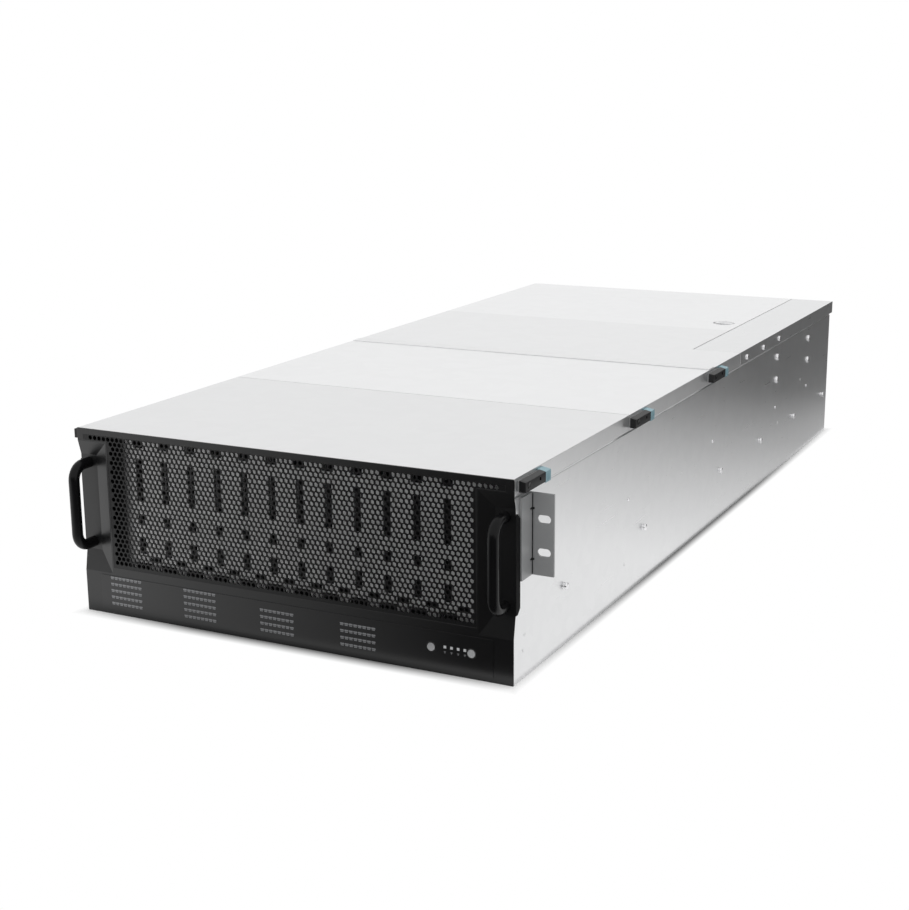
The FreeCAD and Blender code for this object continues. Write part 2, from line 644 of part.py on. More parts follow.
def handles():
    # Bent bar of eight-sided section: out of the well, round two bends of short chords, and back.
    x = size["chassis_width"] / 2 - size["well_floor_width"] / 2
    root = size["well_depth"]
    bar = size["handle_dia"] / 2 - size["handle_reach"]
    bend = size["handle_bend"]
    top = size["handle_mid"] + size["handle_centres"] / 2
    low = size["handle_mid"] - size["handle_centres"] / 2
    chords = 4
    turns = [math.pi / 2 * k / chords for k in range(chords + 1)]
    upper = [vector(x, bar + bend * (1 - math.sin(a)), top - bend * (1 - math.cos(a))) for a in turns]
    lower = [vector(corner.x, corner.y, top + low - corner.z) for corner in reversed(upper)]
    path = Part.makePolygon([vector(x, root, top)] + upper + lower + [vector(x, root, low)])
    spine = shaped("HandlePath", [path])
    section = doc.addObject("Part::RegularPolygon", "HandleSection")
    section.Polygon = 8
    flat_up = FreeCAD.Rotation(vector(0, 0, 1), 180 / section.Polygon)
    section.Placement = FreeCAD.Placement(vector(), FreeCAD.Rotation(vector(1, 0, 0), 90) * flat_up)
    place = half + " - well_floor_width/2"
    for letter, formula in zip("xyz", (place, "well_depth", "handle_mid + handle_centres/2")):
        bind(section, "Placement.Base." + letter, formula)
    bind(section, "Circumradius", "handle_dia/2/cos(180 deg/%d)" % section.Polygon)
    sweep = doc.addObject("Part::Sweep", "HandleBar")
    sweep.Sections = [section]
    sweep.Spine = (spine, ["Edge%d" % (k + 1) for k in range(len(path.Edges))])
    sweep.Solid = True
    piece("handle_right", sweep)
    piece("handle_left", mirror("HandleLeft", sweep))


def ears():
    # L bracket: a leg on the side wall in front, and the slotted rack flange turned outwards.
    flange = box("EarFlange", (half, half + " + ear_width"), ("ear_setback", "ear_setback + ear_thick"),
                 ("ear_low", "ear_top"))
    leg = box("EarLeg", (half, half + " + ear_thick"), ("cheek_deep + clearance", "ear_setback"),
              ("ear_low", "ear_top"))
    slots = [box("Relief" + end, (half + " - clearance", half + " + relief_deep"),
                 ("ear_setback - relief_deep", "ear_setback + 2*ear_thick"),
                 ("relief_%s - relief_tall/2" % end, "relief_%s + relief_tall/2" % end))
             for end in ("low", "top")]
    middle = half + " + rack_slot_out"
    for level in range(2):
        z = "rack_slot_low + %d*rack_slot_spacing" % level
        reach = "(rack_slot_length - rack_slot_width)/2"
        start = "ear_setback - ear_thick"
        web = box("EarSlot%d" % level, (middle + " - " + reach, middle + " + " + reach),
                  (start, "ear_setback + 2*ear_thick"),
                  (z + " - rack_slot_width/2", z + " + rack_slot_width/2"))
        ends = [rod("EarSlotEnd%d%d" % (level, n), "y", ("%s %s %s" % (middle, sign, reach), start, z),
                    "rack_slot_width", "3*ear_thick") for n, sign in enumerate("+-")]
        slots.append(fuse("EarSlotForm%d" % level, web, *ends))
    right = cut("EarRight", fuse("EarForm", flange, leg), *slots)
    piece("ear_right", right)
    piece("ear_left", mirror("EarLeft", right))


def prism(sides, across, foot, along):
    # Many-sided post, measured across its flats, from its foot along a direction.
    reach = across / 2 / math.cos(math.pi / sides)
    turn = FreeCAD.Rotation(vector(0, 0, 1), along)
    corners = [foot + turn.multVec(vector(reach * math.cos(2 * math.pi * n / sides),
                                          reach * math.sin(2 * math.pi * n / sides), 0))
               for n in range(sides)]
    return Part.Face(Part.makePolygon(corners + corners[:1])).extrude(along)


def wall_fixings():
    wall = size["chassis_width"] / 2
    places = [size["stud_front_one"], size["stud_front_two"]]
    places += [spot["depth"] - size["stud_rear_" + word] for word in ("one", "two", "three", "four")]
    studs = []
    for side in (1, -1):
        out = vector(side * size["stud_reach"] / 2, 0, 0)
        for y in places:
            foot = vector(side * wall, y, size["stud_z"])
            neck = prism(small_sides, size["stud_neck_dia"], foot, out)
            studs.append(neck.fuse(prism(small_sides, size["stud_dia"], foot + out, out)))
    piece("rail_studs", shaped("RailStuds", studs))

    spots = [(side, spot[seam], size["beam_screw_z"])
             for side in (1, -1) for seam in ("seam_front", "seam_rear")]
    for n in range(2):
        y = spot["depth"] - size["cage_screw_rear"] - n * size["cage_screw_pitch"]
        levels = [size["cage_screw_top"], size["cage_screw_top"] - size["cage_screw_drop"], shelf_two_mid()]
        spots += [(1, y, z) for z in levels]
    strip_z = size["chassis_height"] - size["strip_screw_drop"]
    spots += [(1, spot["strip_start"] + size["strip_screw_first"] + n * size["strip_screw_pitch"], strip_z)
              for n in range(3)]
    screws = [prism(small_sides, size["screw_dia"], vector(side * wall, y, z),
                    vector(side * size["screw_tall"], 0, 0)) for side, y, z in spots]
    piece("panel_screws", shaped("PanelScrews", screws))


def beams():
    # Bulkheads of bent sheet under the two cover seams, opened for the air.
    solids = []
    reach = size["beam_window_width"] / 2
    for name in ("beam_one", "beam_two"):
        back = name + " + beam_width"
        section = [
            (name, "sheet_thick"), (name, seat_top), (back, seat_top), (back, "sheet_thick"),
            (back + " - sheet_thick", "sheet_thick"), (back + " - sheet_thick", seat_top + " - sheet_thick"),
            (name + " + sheet_thick", seat_top + " - sheet_thick"), (name + " + sheet_thick", "sheet_thick"),
        ]
        flank = half + " - wall_flange - clearance"
        form = extrusion(name + "Form", "YZ_Plane", section, "-(%s)" % flank, flank)
        front = spot[name]
        through = (front - size["sheet_thick"], front + size["beam_width"] + size["sheet_thick"])
        pairs = [(column(k) + column(k + 1)) / 2 for k in range(0, int(size["drive_columns"]) - 1, 2)]
        windows = [block((x - reach, x + reach), through, (size["beam_window_low"], size["beam_window_top"]))
                   for x in pairs]
        solids.append(cut(name + "Solid", form, shaped(name + "Windows", windows)))
    piece("cross_beams", *solids)


def bank_starts():
    return (spot["bank_front"] + size["bank_gap"],
            spot["beam_one"] + size["beam_width"] + size["bank_gap"])


def drive_cells(start):
    # Left front corner of each drive in a bank.
    for row in range(int(size["drive_rows"])):
        for k in range(int(size["drive_columns"])):
            yield column(k) - size["drive_wide"] / 2, start + row * size["row_pitch"]


def drives():
    top = size["drive_base"] + size["drive_tall"]
    backplane_top = size["backplane_z"] + size["board_thick"]
    field = size["drive_columns"] * size["drive_pitch"]
    field_left = size["drive_offset"] - field / 2
    field_right = size["drive_offset"] + field / 2
    bank_long = size["drive_rows"] * size["row_pitch"]
    boards = []
    plates = []
    for label, start in zip(("front", "rear"), bank_starts()):
        drive = block((0, size["drive_wide"]), (0, size["drive_deep"]), (size["drive_base"], top))
        rim = size["carrier_rim"]
        cap = block((rim / 2, size["drive_wide"] - rim / 2), (0, size["drive_deep"]),
                    (top, top + size["carrier_tall"]))
        finger = block((rim, size["drive_wide"] - rim), (rim, size["drive_deep"] / 2),
                       (top + size["carrier_tall"] / 2, top + 2 * size["carrier_tall"]))
        cap = cap.cut(finger)
        socket_x = (size["drive_wide"] - size["socket_wide"]) / 2
        socket = block((socket_x, socket_x + size["socket_wide"]), (0, size["socket_long"]),
                       (backplane_top, size["drive_base"]))
        cells = list(drive_cells(start))
        piece("drives_" + label, shaped("Drives_" + label,
                                        [drive.translated(vector(x, y, 0)) for x, y in cells]))
        piece("carriers_" + label, shaped("Carriers_" + label,
                                          [cap.translated(vector(x, y, 0)) for x, y in cells]))
        boards.append(block((field_left, field_right), (start, start + bank_long),
                            (size["backplane_z"], backplane_top)))
        boards += [socket.translated(vector(x, y, 0)) for x, y in cells]
        for k in range(int(size["drive_columns"]) + 1):
            x = column(k) - size["drive_pitch"] / 2 - size["guide_thick"] / 2
            plates.append(block((x, x + size["guide_thick"]),
                                (start - size["bank_gap"], start + bank_long + size["bank_gap"]),
                                (backplane_top, size["guide_top"])))
    piece("drive_backplane", shaped("Backplanes", boards))
    piece("drive_guides", shaped("Guides", plates))

    foot = size["post_wide"]
    stands = []
    for start in bank_starts():
        for x in (field_left + foot, field_right - foot):
            for y in (start + foot, start + bank_long - foot):
                stands.append((x, y, size["backplane_z"]))
    left = board_left()
    for x in (left + foot, left + size["main_board_wide"] - foot):
        for y in (spot["board_front"] + foot, spot["board_back"] - foot):
            stands.append((x, y, size["main_board_z"]))
    posts = [prism(6, size["post_wide"], vector(x, y, size["sheet_thick"]),
                   vector(0, 0, z - size["sheet_thick"])) for x, y, z in stands]
    piece("board_standoffs", shaped("Standoffs", posts))


def fan_middles():
    return [(n - 1) * size["fan_pitch"] for n in range(3)]


def fans():
    # Square frames with a round air way, motor base on four struts, and a turning rotor each.
    z = size["fan_low"] + size["fan_size"] / 2
    front = spot["fan_front"]
    back = spot["fan_back"]
    reach = size["fan_size"] / 2
    base_front = back - size["motor_base"]
    along = vector(0, 1, 0)
    frames = []
    openings = []
    for n, x in enumerate(fan_middles()):
        axis = vector(x, front, z)
        bore = prism(wide_sides, size["fan_bore_dia"], axis - along * size["fan_depth"] / 2,
                     along * 2 * size["fan_depth"])
        frame = block((x - reach, x + reach), (front, back), (z - reach, z + reach)).cut(bore)
        motor = prism(wide_sides, size["hub_dia"], vector(x, base_front, z), along * size["motor_base"])
        shaft = Part.makeCylinder(size["shaft_dia"] / 2, size["motor_base"] + size["rotor_length"] / 2,
                                  vector(x, base_front - size["rotor_length"] / 2, z), along)
        strut = size["strut_width"] / 2
        struts = [block((x - reach, x + reach), (base_front, back), (z - strut, z + strut)),
                  block((x - strut, x + strut), (base_front, back), (z - reach, z + reach))]
        frames.append(frame.fuse([motor, shaft] + struts).removeSplitter())
        gap = size["fan_window"] / 2
        through = (back - size["sheet_thick"], back + 2 * size["sheet_thick"])
        openings.append(block((x - gap, x + gap), through, (z - gap, z + gap)))

        rotor_back = base_front - 2 * size["clearance"]
        rotor_front = rotor_back - size["rotor_length"]
        hub = prism(2 * int(size["blade_count"]), size["hub_dia"], vector(x, rotor_front, z),
                    along * size["rotor_length"])
        middle = vector(x, (rotor_front + rotor_back) / 2, z)
        blade = block((-size["blade_thick"] / 2, size["blade_thick"] / 2),
                      (-size["blade_chord"] / 2, size["blade_chord"] / 2),
                      (size["hub_dia"] / 2 - size["blade_chord"] / 4, size["rotor_dia"] / 2))
        blade.rotate(vector(), vector(0, 0, 1), size["blade_angle"])
        blades = []
        for k in range(int(size["blade_count"])):
            turned = blade.copy()
            turned.rotate(vector(), along, 360 * k / size["blade_count"])
            blades.append(turned.translated(middle))
        hole_deep = size["rotor_length"] / 2 + size["clearance"]
        hole = Part.makeCylinder(size["shaft_dia"] / 2 + size["clearance"], 2 * hole_deep,
                                 vector(x, rotor_back - hole_deep, z), along)
        rotor = hub.fuse(blades).cut(hole).removeSplitter()
        piece("fan_rotor_%d" % (n + 1), shaped("Rotor%d" % n, [rotor]))
    piece("fan_frames", shaped("FanFrames", frames))
    wall = box("FanPlate", ("-(%s - wall_flange - clearance)" % half, half + " - wall_flange - clearance"),
               ("fan_back", "fan_back + sheet_thick"), ("sheet_thick", seat_top))
    piece("fan_wall", cut("FanWall", wall, shaped("FanOpenings", openings)))


def board_left():
    return -size["chassis_width"] / 2 + size["sheet_thick"] + size["main_board_side"]


def comb(left, front, base):
    # Heat sink section: a base plate with a row of upright fins, extruded along the air flow.
    step = (size["sink_wide"] - size["fin_thick"]) / (size["sink_fins"] - 1)
    foot = base + size["sink_base"]
    crown = base + size["sink_tall"]
    fins = []
    for k in range(int(size["sink_fins"])):
        x = left + k * step
        far = x + size["fin_thick"]
        fins += [vector(x, front, foot), vector(x, front, crown)]
        fins += [vector(far, front, crown), vector(far, front, foot)]
    ring = [vector(left, front, base)] + fins[1:-1] + [vector(left + size["sink_wide"], front, base)]
    return Part.Face(Part.makePolygon(ring + ring[:1])).extrude(vector(0, size["sink_long"], 0))


def electronics():
    left = board_left()
    front = spot["board_front"]
    back = spot["board_back"]
    top = size["main_board_z"] + size["board_thick"]
    board = block((left, left + size["main_board_wide"]), (front, back), (size["main_board_z"], top))
    sinks = [comb(left + size["sink_first"] + n * size["sink_pitch"] - size["sink_wide"] / 2,
                  front + size["sink_front"], top) for n in range(2)]
    piece("processor_heatsinks", shaped("HeatSinks", sinks))

    socket = size["memory_socket"]
    middle_y = front + size["sink_front"] + size["sink_long"] / 2
    along = (middle_y - size["memory_long"] / 2, middle_y + size["memory_long"] / 2)
    modules = []
    sockets = []
    for n in range(3):
        middle = left + size["sink_first"] + (n - 0.5) * size["sink_pitch"]
        for k in range(4):
            x = middle + (k - 1.5) * size["memory_pitch"]
            sockets.append(block((x - socket / 2, x + socket / 2), along, (top, top + socket)))
            modules.append(block((x - size["memory_thick"] / 2, x + size["memory_thick"] / 2), along,
                                 (top + socket, top + socket + size["memory_tall"])))
    piece("memory_modules", shaped("Memory", modules))

    cards = []
    inner = spot["rear_inner"]
    for n in range(2):
        x = left + size["card_first"] + n * size["card_pitch"]
        base = top + size["card_socket"]
        slim = size["board_thick"] / 2
        card = block((x - slim, x + slim), (inner - size["card_long"], inner),
                     (base, base + size["card_tall"]))
        bracket = block((x - size["bracket_wide"] / 2, x + size["bracket_wide"] / 2),
                        (inner - size["board_thick"], inner), (base, base + size["bracket_tall"]))
        cards.append(card.fuse(bracket))
        sockets.append(block((x - socket / 2, x + socket / 2),
                             (back - size["card_long"] / 2, back), (top, base)))
    piece("expansion_cards", shaped("Cards", cards))
    piece("motherboard", shaped("MainBoard", [board] + sockets))


def first_port():
    right = board_left() + size["main_board_wide"] - size["port_inset"]
    return right - 3 * size["port_pitch"] - size["port_wide"]


def port_spans():
    # Sides and levels of the port shells at the rear panel.
    left = first_port()
    low = size["main_board_z"] + size["board_thick"]
    return [((left + n * size["port_pitch"], left + n * size["port_pitch"] + size["port_wide"]),
             (low, low + size["port_tall"])) for n in range(4)]


def shelf_two_mid():
    return size["psu_base"] + size["psu_tall"] + 2 * size["clearance"] + size["sheet_thick"] / 2


psu_x = "(chassis_width/2 - strip_width/2 - psu_wide/2)"
psu_pitch = "(psu_tall + 2*clearance + sheet_thick)"


def rear_panel():
    plate = upright_panel("RearPlate", "rear_inner", "depth")
    ports = []
    shells = []
    wall = size["port_wall"]
    slack = size["clearance"]
    through = (spot["rear_inner"] - size["sheet_thick"], spot["depth"] + size["sheet_thick"])
    for x, z in port_spans():
        ports.append(block((x[0] - slack, x[1] + slack), through, (z[0], z[1] + slack)))
        shell = block(x, (spot["depth"] - size["port_long"], spot["depth"]), z)
        hollow = block((x[0] + wall, x[1] - wall),
                       (spot["depth"] - size["port_long"] + wall, spot["depth"] + wall),
                       (z[0] + wall, z[1] - wall))
        shells.append(shell.cut(hollow))
    piece("rear_ports", shaped("PortShells", shells))

    vents = []
    first = first_port()
    room = size["chassis_width"] / 2 - size["strip_width"] - size["vent_pitch"] - first
    count = int(room / size["vent_pitch"])
    for n in range(count):
        x = first + n * size["vent_pitch"]
        vents.append(block((x, x + size["vent_width"]), through, (size["vent_low"], size["vent_top"])))
    card_low = size["main_board_z"] + size["board_thick"] + size["card_socket"]
    card_top = card_low + size["bracket_tall"] - size["board_thick"]
    for n in range(2):
        x = board_left() + size["card_first"] + n * size["card_pitch"]
        reach = size["bracket_wide"] / 2 - size["board_thick"]
        vents.append(block((x - reach, x + reach), through, (card_low + size["board_thick"], card_top)))
    bays = []
    for n in range(2):
        low = "psu_base + %d*%s" % (n, psu_pitch)
        bays.append(box("SupplyBay%d" % n, (psu_x + " - clearance", psu_x + " + psu_wide + clearance"),
                        ("rear_inner - sheet_thick", "depth + sheet_thick"),
                        (low, low + " + psu_tall + 2*clearance")))
    piece("rear_panel", cut("RearPanel", plate, shaped("RearOpenings", ports + vents), *bays))


def supply_cage():
    # Inner wall, two shelves and the fixed roof strip with its skirt and rear lip.
    left = half + " - strip_width"
    upright = box("CageInner", (left, left + " + sheet_thick"), ("strip_start", "rear_inner"),
                  ("sheet_thick", roof_under))
    roof = box("CageRoof", (left, half), ("strip_start", "roof_end"), (roof_under, "chassis_height"))
    skirt = box("CageSkirt", (inside, half), ("strip_start", "roof_end"), (skirt_low, roof_under))
    lip = box("CageLip", (left, half), ("roof_end - sheet_thick", "roof_end"),
              ("chassis_height - lip_drop", roof_under))
    flank = inside + " - sheet_thick"
    shelves = []
    for n, end in enumerate((flank, inside)):
        top = "psu_base + %d*%s" % (n, psu_pitch)
        shelves.append(box("Shelf%d" % n, (left, end), ("psu_front", "rear_inner"),
                           (top + " - sheet_thick", top)))
    piece("psu_cage", fuse("SupplyCage", upright, roof, skirt, lip, *shelves))

    face = "psu_front - plug_long - clearance"
    board = box("PowerBoard", (left + " + sheet_thick", flank), (face + " - board_thick", face),
                ("sheet_thick", "psu_base + 2*" + psu_pitch))
    plugs = []
    for n in range(2):
        mid = "psu_base + clearance + %d*%s + psu_tall/2" % (n, psu_pitch)
        plugs.append(box("Plug%d" % n, (psu_x + " + psu_wide/4", psu_x + " + 3*psu_wide/4"),
                         (face, "psu_front - clearance"), (mid + " - psu_tall/4", mid + " + psu_tall/4")))
    piece("power_board", fuse("PowerBoardSolid", board, *plugs))


def supplies():
    for n, label in enumerate(("lower", "upper")):
        low = "psu_base + clearance + %d*%s" % (n, psu_pitch)
        case = box("Supply%d" % n, (psu_x, psu_x + " + psu_wide"), ("psu_front", "depth"),
                   (low, low + " + psu_tall"))
        mid = psu_x + " + psu_wide/2"
        inlet = box("Inlet%d" % n, (mid + " - inlet_wide/2", mid + " + inlet_wide/2"),
                    ("depth - inlet_deep", "depth + clearance"),
                    (low + " + inlet_low", low + " + inlet_low + inlet_tall"))
        outlet = rod("Outlet%d" % n, "y", (mid, "depth - psu_fan_deep", low + " + psu_fan_low"),
                     "psu_fan_dia", "2*psu_fan_deep", button_sides)
        opened = cut("SupplyOpened%d" % n, case, inlet, outlet)
        grip_low = low + " + (psu_tall - psu_handle_tall)/2"
        grip = box("Grip%d" % n, (psu_x, psu_x + " + psu_handle_thick"),
                   ("depth", "depth + psu_handle_reach"), (grip_low, grip_low + " + psu_handle_tall"))
        gap = box("GripGap%d" % n, (psu_x + " - clearance", psu_x + " + psu_handle_thick + clearance"),
                  ("depth", "depth + psu_handle_reach - psu_handle_bar"),
                  (grip_low + " + psu_handle_bar", grip_low + " + psu_handle_tall - psu_handle_bar"))
        piece("power_supply_" + label, fuse("SupplySolid%d" % n, opened, cut("GripLoop%d" % n, grip, gap)))
        pivot = (psu_x + " + psu_wide - release_knuckle/2", "depth + clearance + release_knuckle/2")
        foot = low + " + release_low"
        knuckle = rod("Knuckle%d" % n, "z", pivot + (foot,), "release_knuckle", "release_tall")
        tongue = box("Tongue%d" % n, (pivot[0] + " - release_thick/2", pivot[0] + " + release_thick/2"),
                     (pivot[1], "depth + clearance + release_long"), (foot, foot + " + release_tall"))
        piece("psu_release_" + label, fuse("Release%d" % n, knuckle, tongue))


def cover(name, points, skirt_front, back, right_end, extras):
    # A roof plate with side skirts, and what the plate and the skirts carry.
    plate = extrusion(name + "Plate", "XY_Plane", points, roof_under, "chassis_height")
    left = box(name + "SkirtLeft", ("-" + half, "-" + inside), (skirt_front, back), (skirt_low, roof_under))
    right = box(name + "SkirtRight", (inside, half), (skirt_front, right_end), (skirt_low, roof_under))
    return fuse(name + "Solid", plate, left, right, *extras)


lever_low = "(chassis_height - lever_drop - lever_tall)"


def latch(name, start):
    # Lever lying along the skirt, its pale tab behind, and the pivot pin that the skirt carries.
    inner = half + " + clearance"
    outer = inner + " + lever_thick"
    top = lever_low + " + lever_tall"
    section = [(inner, lever_low), (outer, lever_low), (outer, top + " - lever_chamfer"),
               (outer + " - lever_chamfer", top), (inner, top)]
    bar = extrusion(name + "Bar", "XZ_Plane", section, start, start + " + lever_long")
    middle = lever_low + " + lever_tall/2"
    place = (start + " + pivot_inset", middle)
    hole = rod(name + "Hole", "x", (half,) + place, "pivot_dia + 2*clearance", "lever_thick + 2*clearance")
    pin = rod(name + "Pin", "x", (inside,) + place, "pivot_dia", "sheet_thick + clearance + lever_thick",
              small_sides)
    lever = cut(name + "Lever", bar, hole)
    end = start + " + lever_long"
    section = [(inner, lever_low + " - tab_over"), (outer, lever_low + " - tab_over"),
               (outer, top + " - lever_chamfer"), (outer + " - lever_chamfer", top), (inner, top)]
    tab = extrusion(name + "Tab", "XZ_Plane", section, end, end + " + tab_long")
    piece(name + "_lever_right", lever)
    piece(name + "_lever_left", mirror(name + "LeverLeft", lever))
    piece(name + "_tab_right", tab)
    piece(name + "_tab_left", mirror(name + "TabLeft", tab))
    return [pin, mirror(name + "PinLeft", pin)]


def covers():
    gap = "seam_gap/2"
    front = "bezel_thick + clearance"
    seams = {"front": (front, "seam_front - " + gap), "middle": ("seam_front + " + gap, "seam_rear - " + gap)}
    rear_pins = latch("rear", "seam_rear - %s + lever_rear_offset" % gap)
    for name, (start, end) in seams.items():
        pins = latch(name, start + " + lever_%s_offset" % name)
        pins += rear_pins if name == "middle" else []
        corners = [("-" + half, start), (half, start), (half, end), ("-" + half, end)]
        skirt = start + " + skirt_setback" if name == "front" else start
        piece(name + "_cover", cover(name, corners, skirt, end, end, pins))

    # The rear cover leaves the roof strip over the power supplies free, and carries the turn lock.
    start = "seam_rear + " + gap
    edge = half + " - strip_width - seam_gap"
    step = "strip_start - seam_gap"
    corners = [("-" + half, start), (half, start), (half, step), (edge, step),
               (edge, "roof_end"), ("-" + half, "roof_end")]
    lip = box("RearLip", ("-" + half, edge), ("roof_end - sheet_thick", "roof_end"),
              ("chassis_height - lip_drop", roof_under))
    lock_x = half + " - strip_width - lock_inset"
    lock_y = "roof_end - lock_setback"
    floor = "chassis_height - lock_deep"
    cup = rod("LockCup", "z", (lock_x, lock_y, floor + " - sheet_thick"), "lock_cup_dia + 2*sheet_thick",
              "lock_deep")
    hollow = rod("LockHollow", "z", (lock_x, lock_y, floor), "lock_cup_dia", "2*lock_deep")
    form = cover("rear", corners, start, "roof_end", step, [lip, cup])
    piece("rear_cover", cut("RearCover", form, hollow))

    disc = rod("LockDisc", "z", (lock_x, lock_y, floor + " + clearance"), "lock_dia", "lock_plate")
    bar = box("LockBar", (lock_x + " - lock_dia/2 + lock_plate", lock_x + " + lock_dia/2 - lock_plate"),
              (lock_y + " - lock_bar/2", lock_y + " + lock_bar/2"),
              (floor + " + clearance", "chassis_height - clearance"))
    piece("rear_cover_lock", fuse("LockSolid", disc, bar))


base_pan()
side_walls()
front_panel()
buttons()
grille()
cage_wall()
handles()
ears()
wall_fixings()
beams()
drives()
fans()
electronics()
rear_panel()
supply_cage()
supplies()
covers()
doc.recompute()

faults = [thing.Name for thing in doc.Objects if "Invalid" in thing.State or "Error" in thing.State]
faults += [part.Label for part in nodes if part.Shape.isNull() or not part.Shape.isValid()]
if faults:
    raise RuntimeError("failed objects: " + ", ".join(faults))

os.makedirs("parts", exist_ok=True)
for part in nodes:
    part.Shape.exportStep("parts/" + part.Label + ".step")
print(len(nodes), "pieces written")
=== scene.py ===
import json
import math

import bmesh
import bpy
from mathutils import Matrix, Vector


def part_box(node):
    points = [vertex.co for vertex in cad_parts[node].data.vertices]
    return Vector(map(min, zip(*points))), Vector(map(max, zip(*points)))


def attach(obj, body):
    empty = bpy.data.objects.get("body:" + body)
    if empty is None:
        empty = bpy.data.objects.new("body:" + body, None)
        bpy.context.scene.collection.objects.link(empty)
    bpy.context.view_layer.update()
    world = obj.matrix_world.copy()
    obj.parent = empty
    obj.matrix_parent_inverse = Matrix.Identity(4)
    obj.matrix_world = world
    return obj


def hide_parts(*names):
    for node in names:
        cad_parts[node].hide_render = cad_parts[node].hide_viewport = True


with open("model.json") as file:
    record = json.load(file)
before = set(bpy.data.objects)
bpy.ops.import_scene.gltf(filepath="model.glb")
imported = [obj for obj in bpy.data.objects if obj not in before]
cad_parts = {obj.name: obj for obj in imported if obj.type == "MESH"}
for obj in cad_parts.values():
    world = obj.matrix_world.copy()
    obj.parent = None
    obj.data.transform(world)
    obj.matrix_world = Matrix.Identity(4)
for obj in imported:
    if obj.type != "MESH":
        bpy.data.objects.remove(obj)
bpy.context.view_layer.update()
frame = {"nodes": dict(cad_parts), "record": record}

scene = bpy.context.scene
nodes = frame["nodes"]
mm = 0.001
weldGap = 0.01 * mm  # corners closer than this are one
cutGap = 0.001 * mm
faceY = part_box("front_bezel")[0].y / mm
sides = ((1, "right"), (-1, "left"))
black = (0, 0, 0)
finishes = {}


def at(x, y, z):  # millimetres, y from the bezel's front face
    return Vector((x, faceY + y, z)) * mm


def spread(first, pitch, count):  # evenly spaced values
    return [first + k * pitch for k in range(count)]


def turns(count):  # equal parts of a full turn
    return spread(0, 2 * math.pi / count, count)


class Val:  # a socket that takes Python arithmetic
    def __init__(self, tree, socket):
        self.tree = tree
        self.socket = socket

    def math(self, kind, first, second=0):
        return addNode(self.tree, "Math", {0: first, 1: second}, operation=kind)

    def __add__(self, other):
        return self.math("ADD", self, other)

    def __radd__(self, other):
        return self.math("ADD", other, self)

    def __sub__(self, other):
        return self.math("SUBTRACT", self, other)

    def __rsub__(self, other):
        return self.math("SUBTRACT", other, self)

    def __mul__(self, other):
        return self.math("MULTIPLY", self, other)

    def __rmul__(self, other):
        return self.math("MULTIPLY", other, self)

    def __gt__(self, other):
        return self.math("GREATER_THAN", self, other)

    def __lt__(self, other):
        return self.math("LESS_THAN", self, other)

    def __abs__(self):
        return self.math("ABSOLUTE", self)


def plug(tree, slot, value):
    if isinstance(value, Val):
        tree.links.new(value.socket, slot)
    elif slot.type == "RGBA" and len(value) == 3:
        slot.default_value = (*value, 1)
    else:
        slot.default_value = value


def addNode(tree, kind, sockets, out=0, stops=(), **settings):  # settings and stops go in before the sockets
    node = tree.nodes.new("ShaderNode" + kind)
    for key, value in settings.items():
        setattr(node, key, value)
    for k, (spot, shade) in enumerate(stops):
        node.color_ramp.elements[k].position = spot
        node.color_ramp.elements[k].color = (shade, shade, shade, 1)
    for key, value in sockets.items():
        plug(tree, node.inputs[key], value)
    return Val(tree, node.outputs[out])


class Finish:  # one surface, named after the record's slot
    def __init__(self, name):
        self.material = bpy.data.materials.new(name)
        self.material.use_nodes = True
        self.tree = self.material.node_tree
        self.shader = self.tree.nodes["Principled BSDF"]
        self.place = self.add("TexCoord", {}, "Object")
        finishes[name] = self.material

    def add(self, kind, sockets, out=0, **settings):
        return addNode(self.tree, kind, sockets, out, **settings)

    def axis(self, letter, source=None):
        return self.add("SeparateXYZ", {0: source or self.place}, letter)

    def stretch(self, x, y, z):  # texture space, pulled along the axes
        return self.add("Mapping", {"Vector": self.place, "Scale": (x, y, z)})

    def noise(self, scale, detail=3, rough=0.55, where=None):
        sockets = {"Vector": where or self.place, "Scale": scale, "Detail": detail, "Roughness": rough}
        return self.add("TexNoise", sockets)

    def band(self, value, low=0.0, high=1.0):  # 0 below low, 1 above high
        return self.add("ValToRGB", {"Fac": value}, stops=((low, 0), (high, 1)))

    def ramp(self, value, start, rate):  # 0 before the start, then up to 1 at the given rate
        return self.band((value - start) * rate)

    def mix(self, mask, first, second):
        return self.add("Mix", {0: mask, 6: first, 7: second}, 2, data_type="RGBA")

    def bump(self, height, depth, strength):
        return self.add("Bump", {"Height": height, "Distance": depth * mm, "Strength": strength})

    def shade(self, sockets):
        for key, value in sockets.items():
            plug(self.tree, self.shader.inputs[key], value)

    def glow(self, light, colour=black):  # gives off light and mirrors none
        self.shade({"Base Color": colour, "Specular IOR Level": 0.0, "Emission Color": light,
                    "Emission Strength": 1.0})

    def cover(self, mask, sockets):  # another surface where the mask is 1
        other = self.add("BsdfPrincipled", sockets)
        both = self.add("MixShader", {0: mask, 1: Val(self.tree, self.shader.outputs[0]), 2: other})
        self.tree.links.new(both.socket, self.tree.nodes["Material Output"].inputs["Surface"])


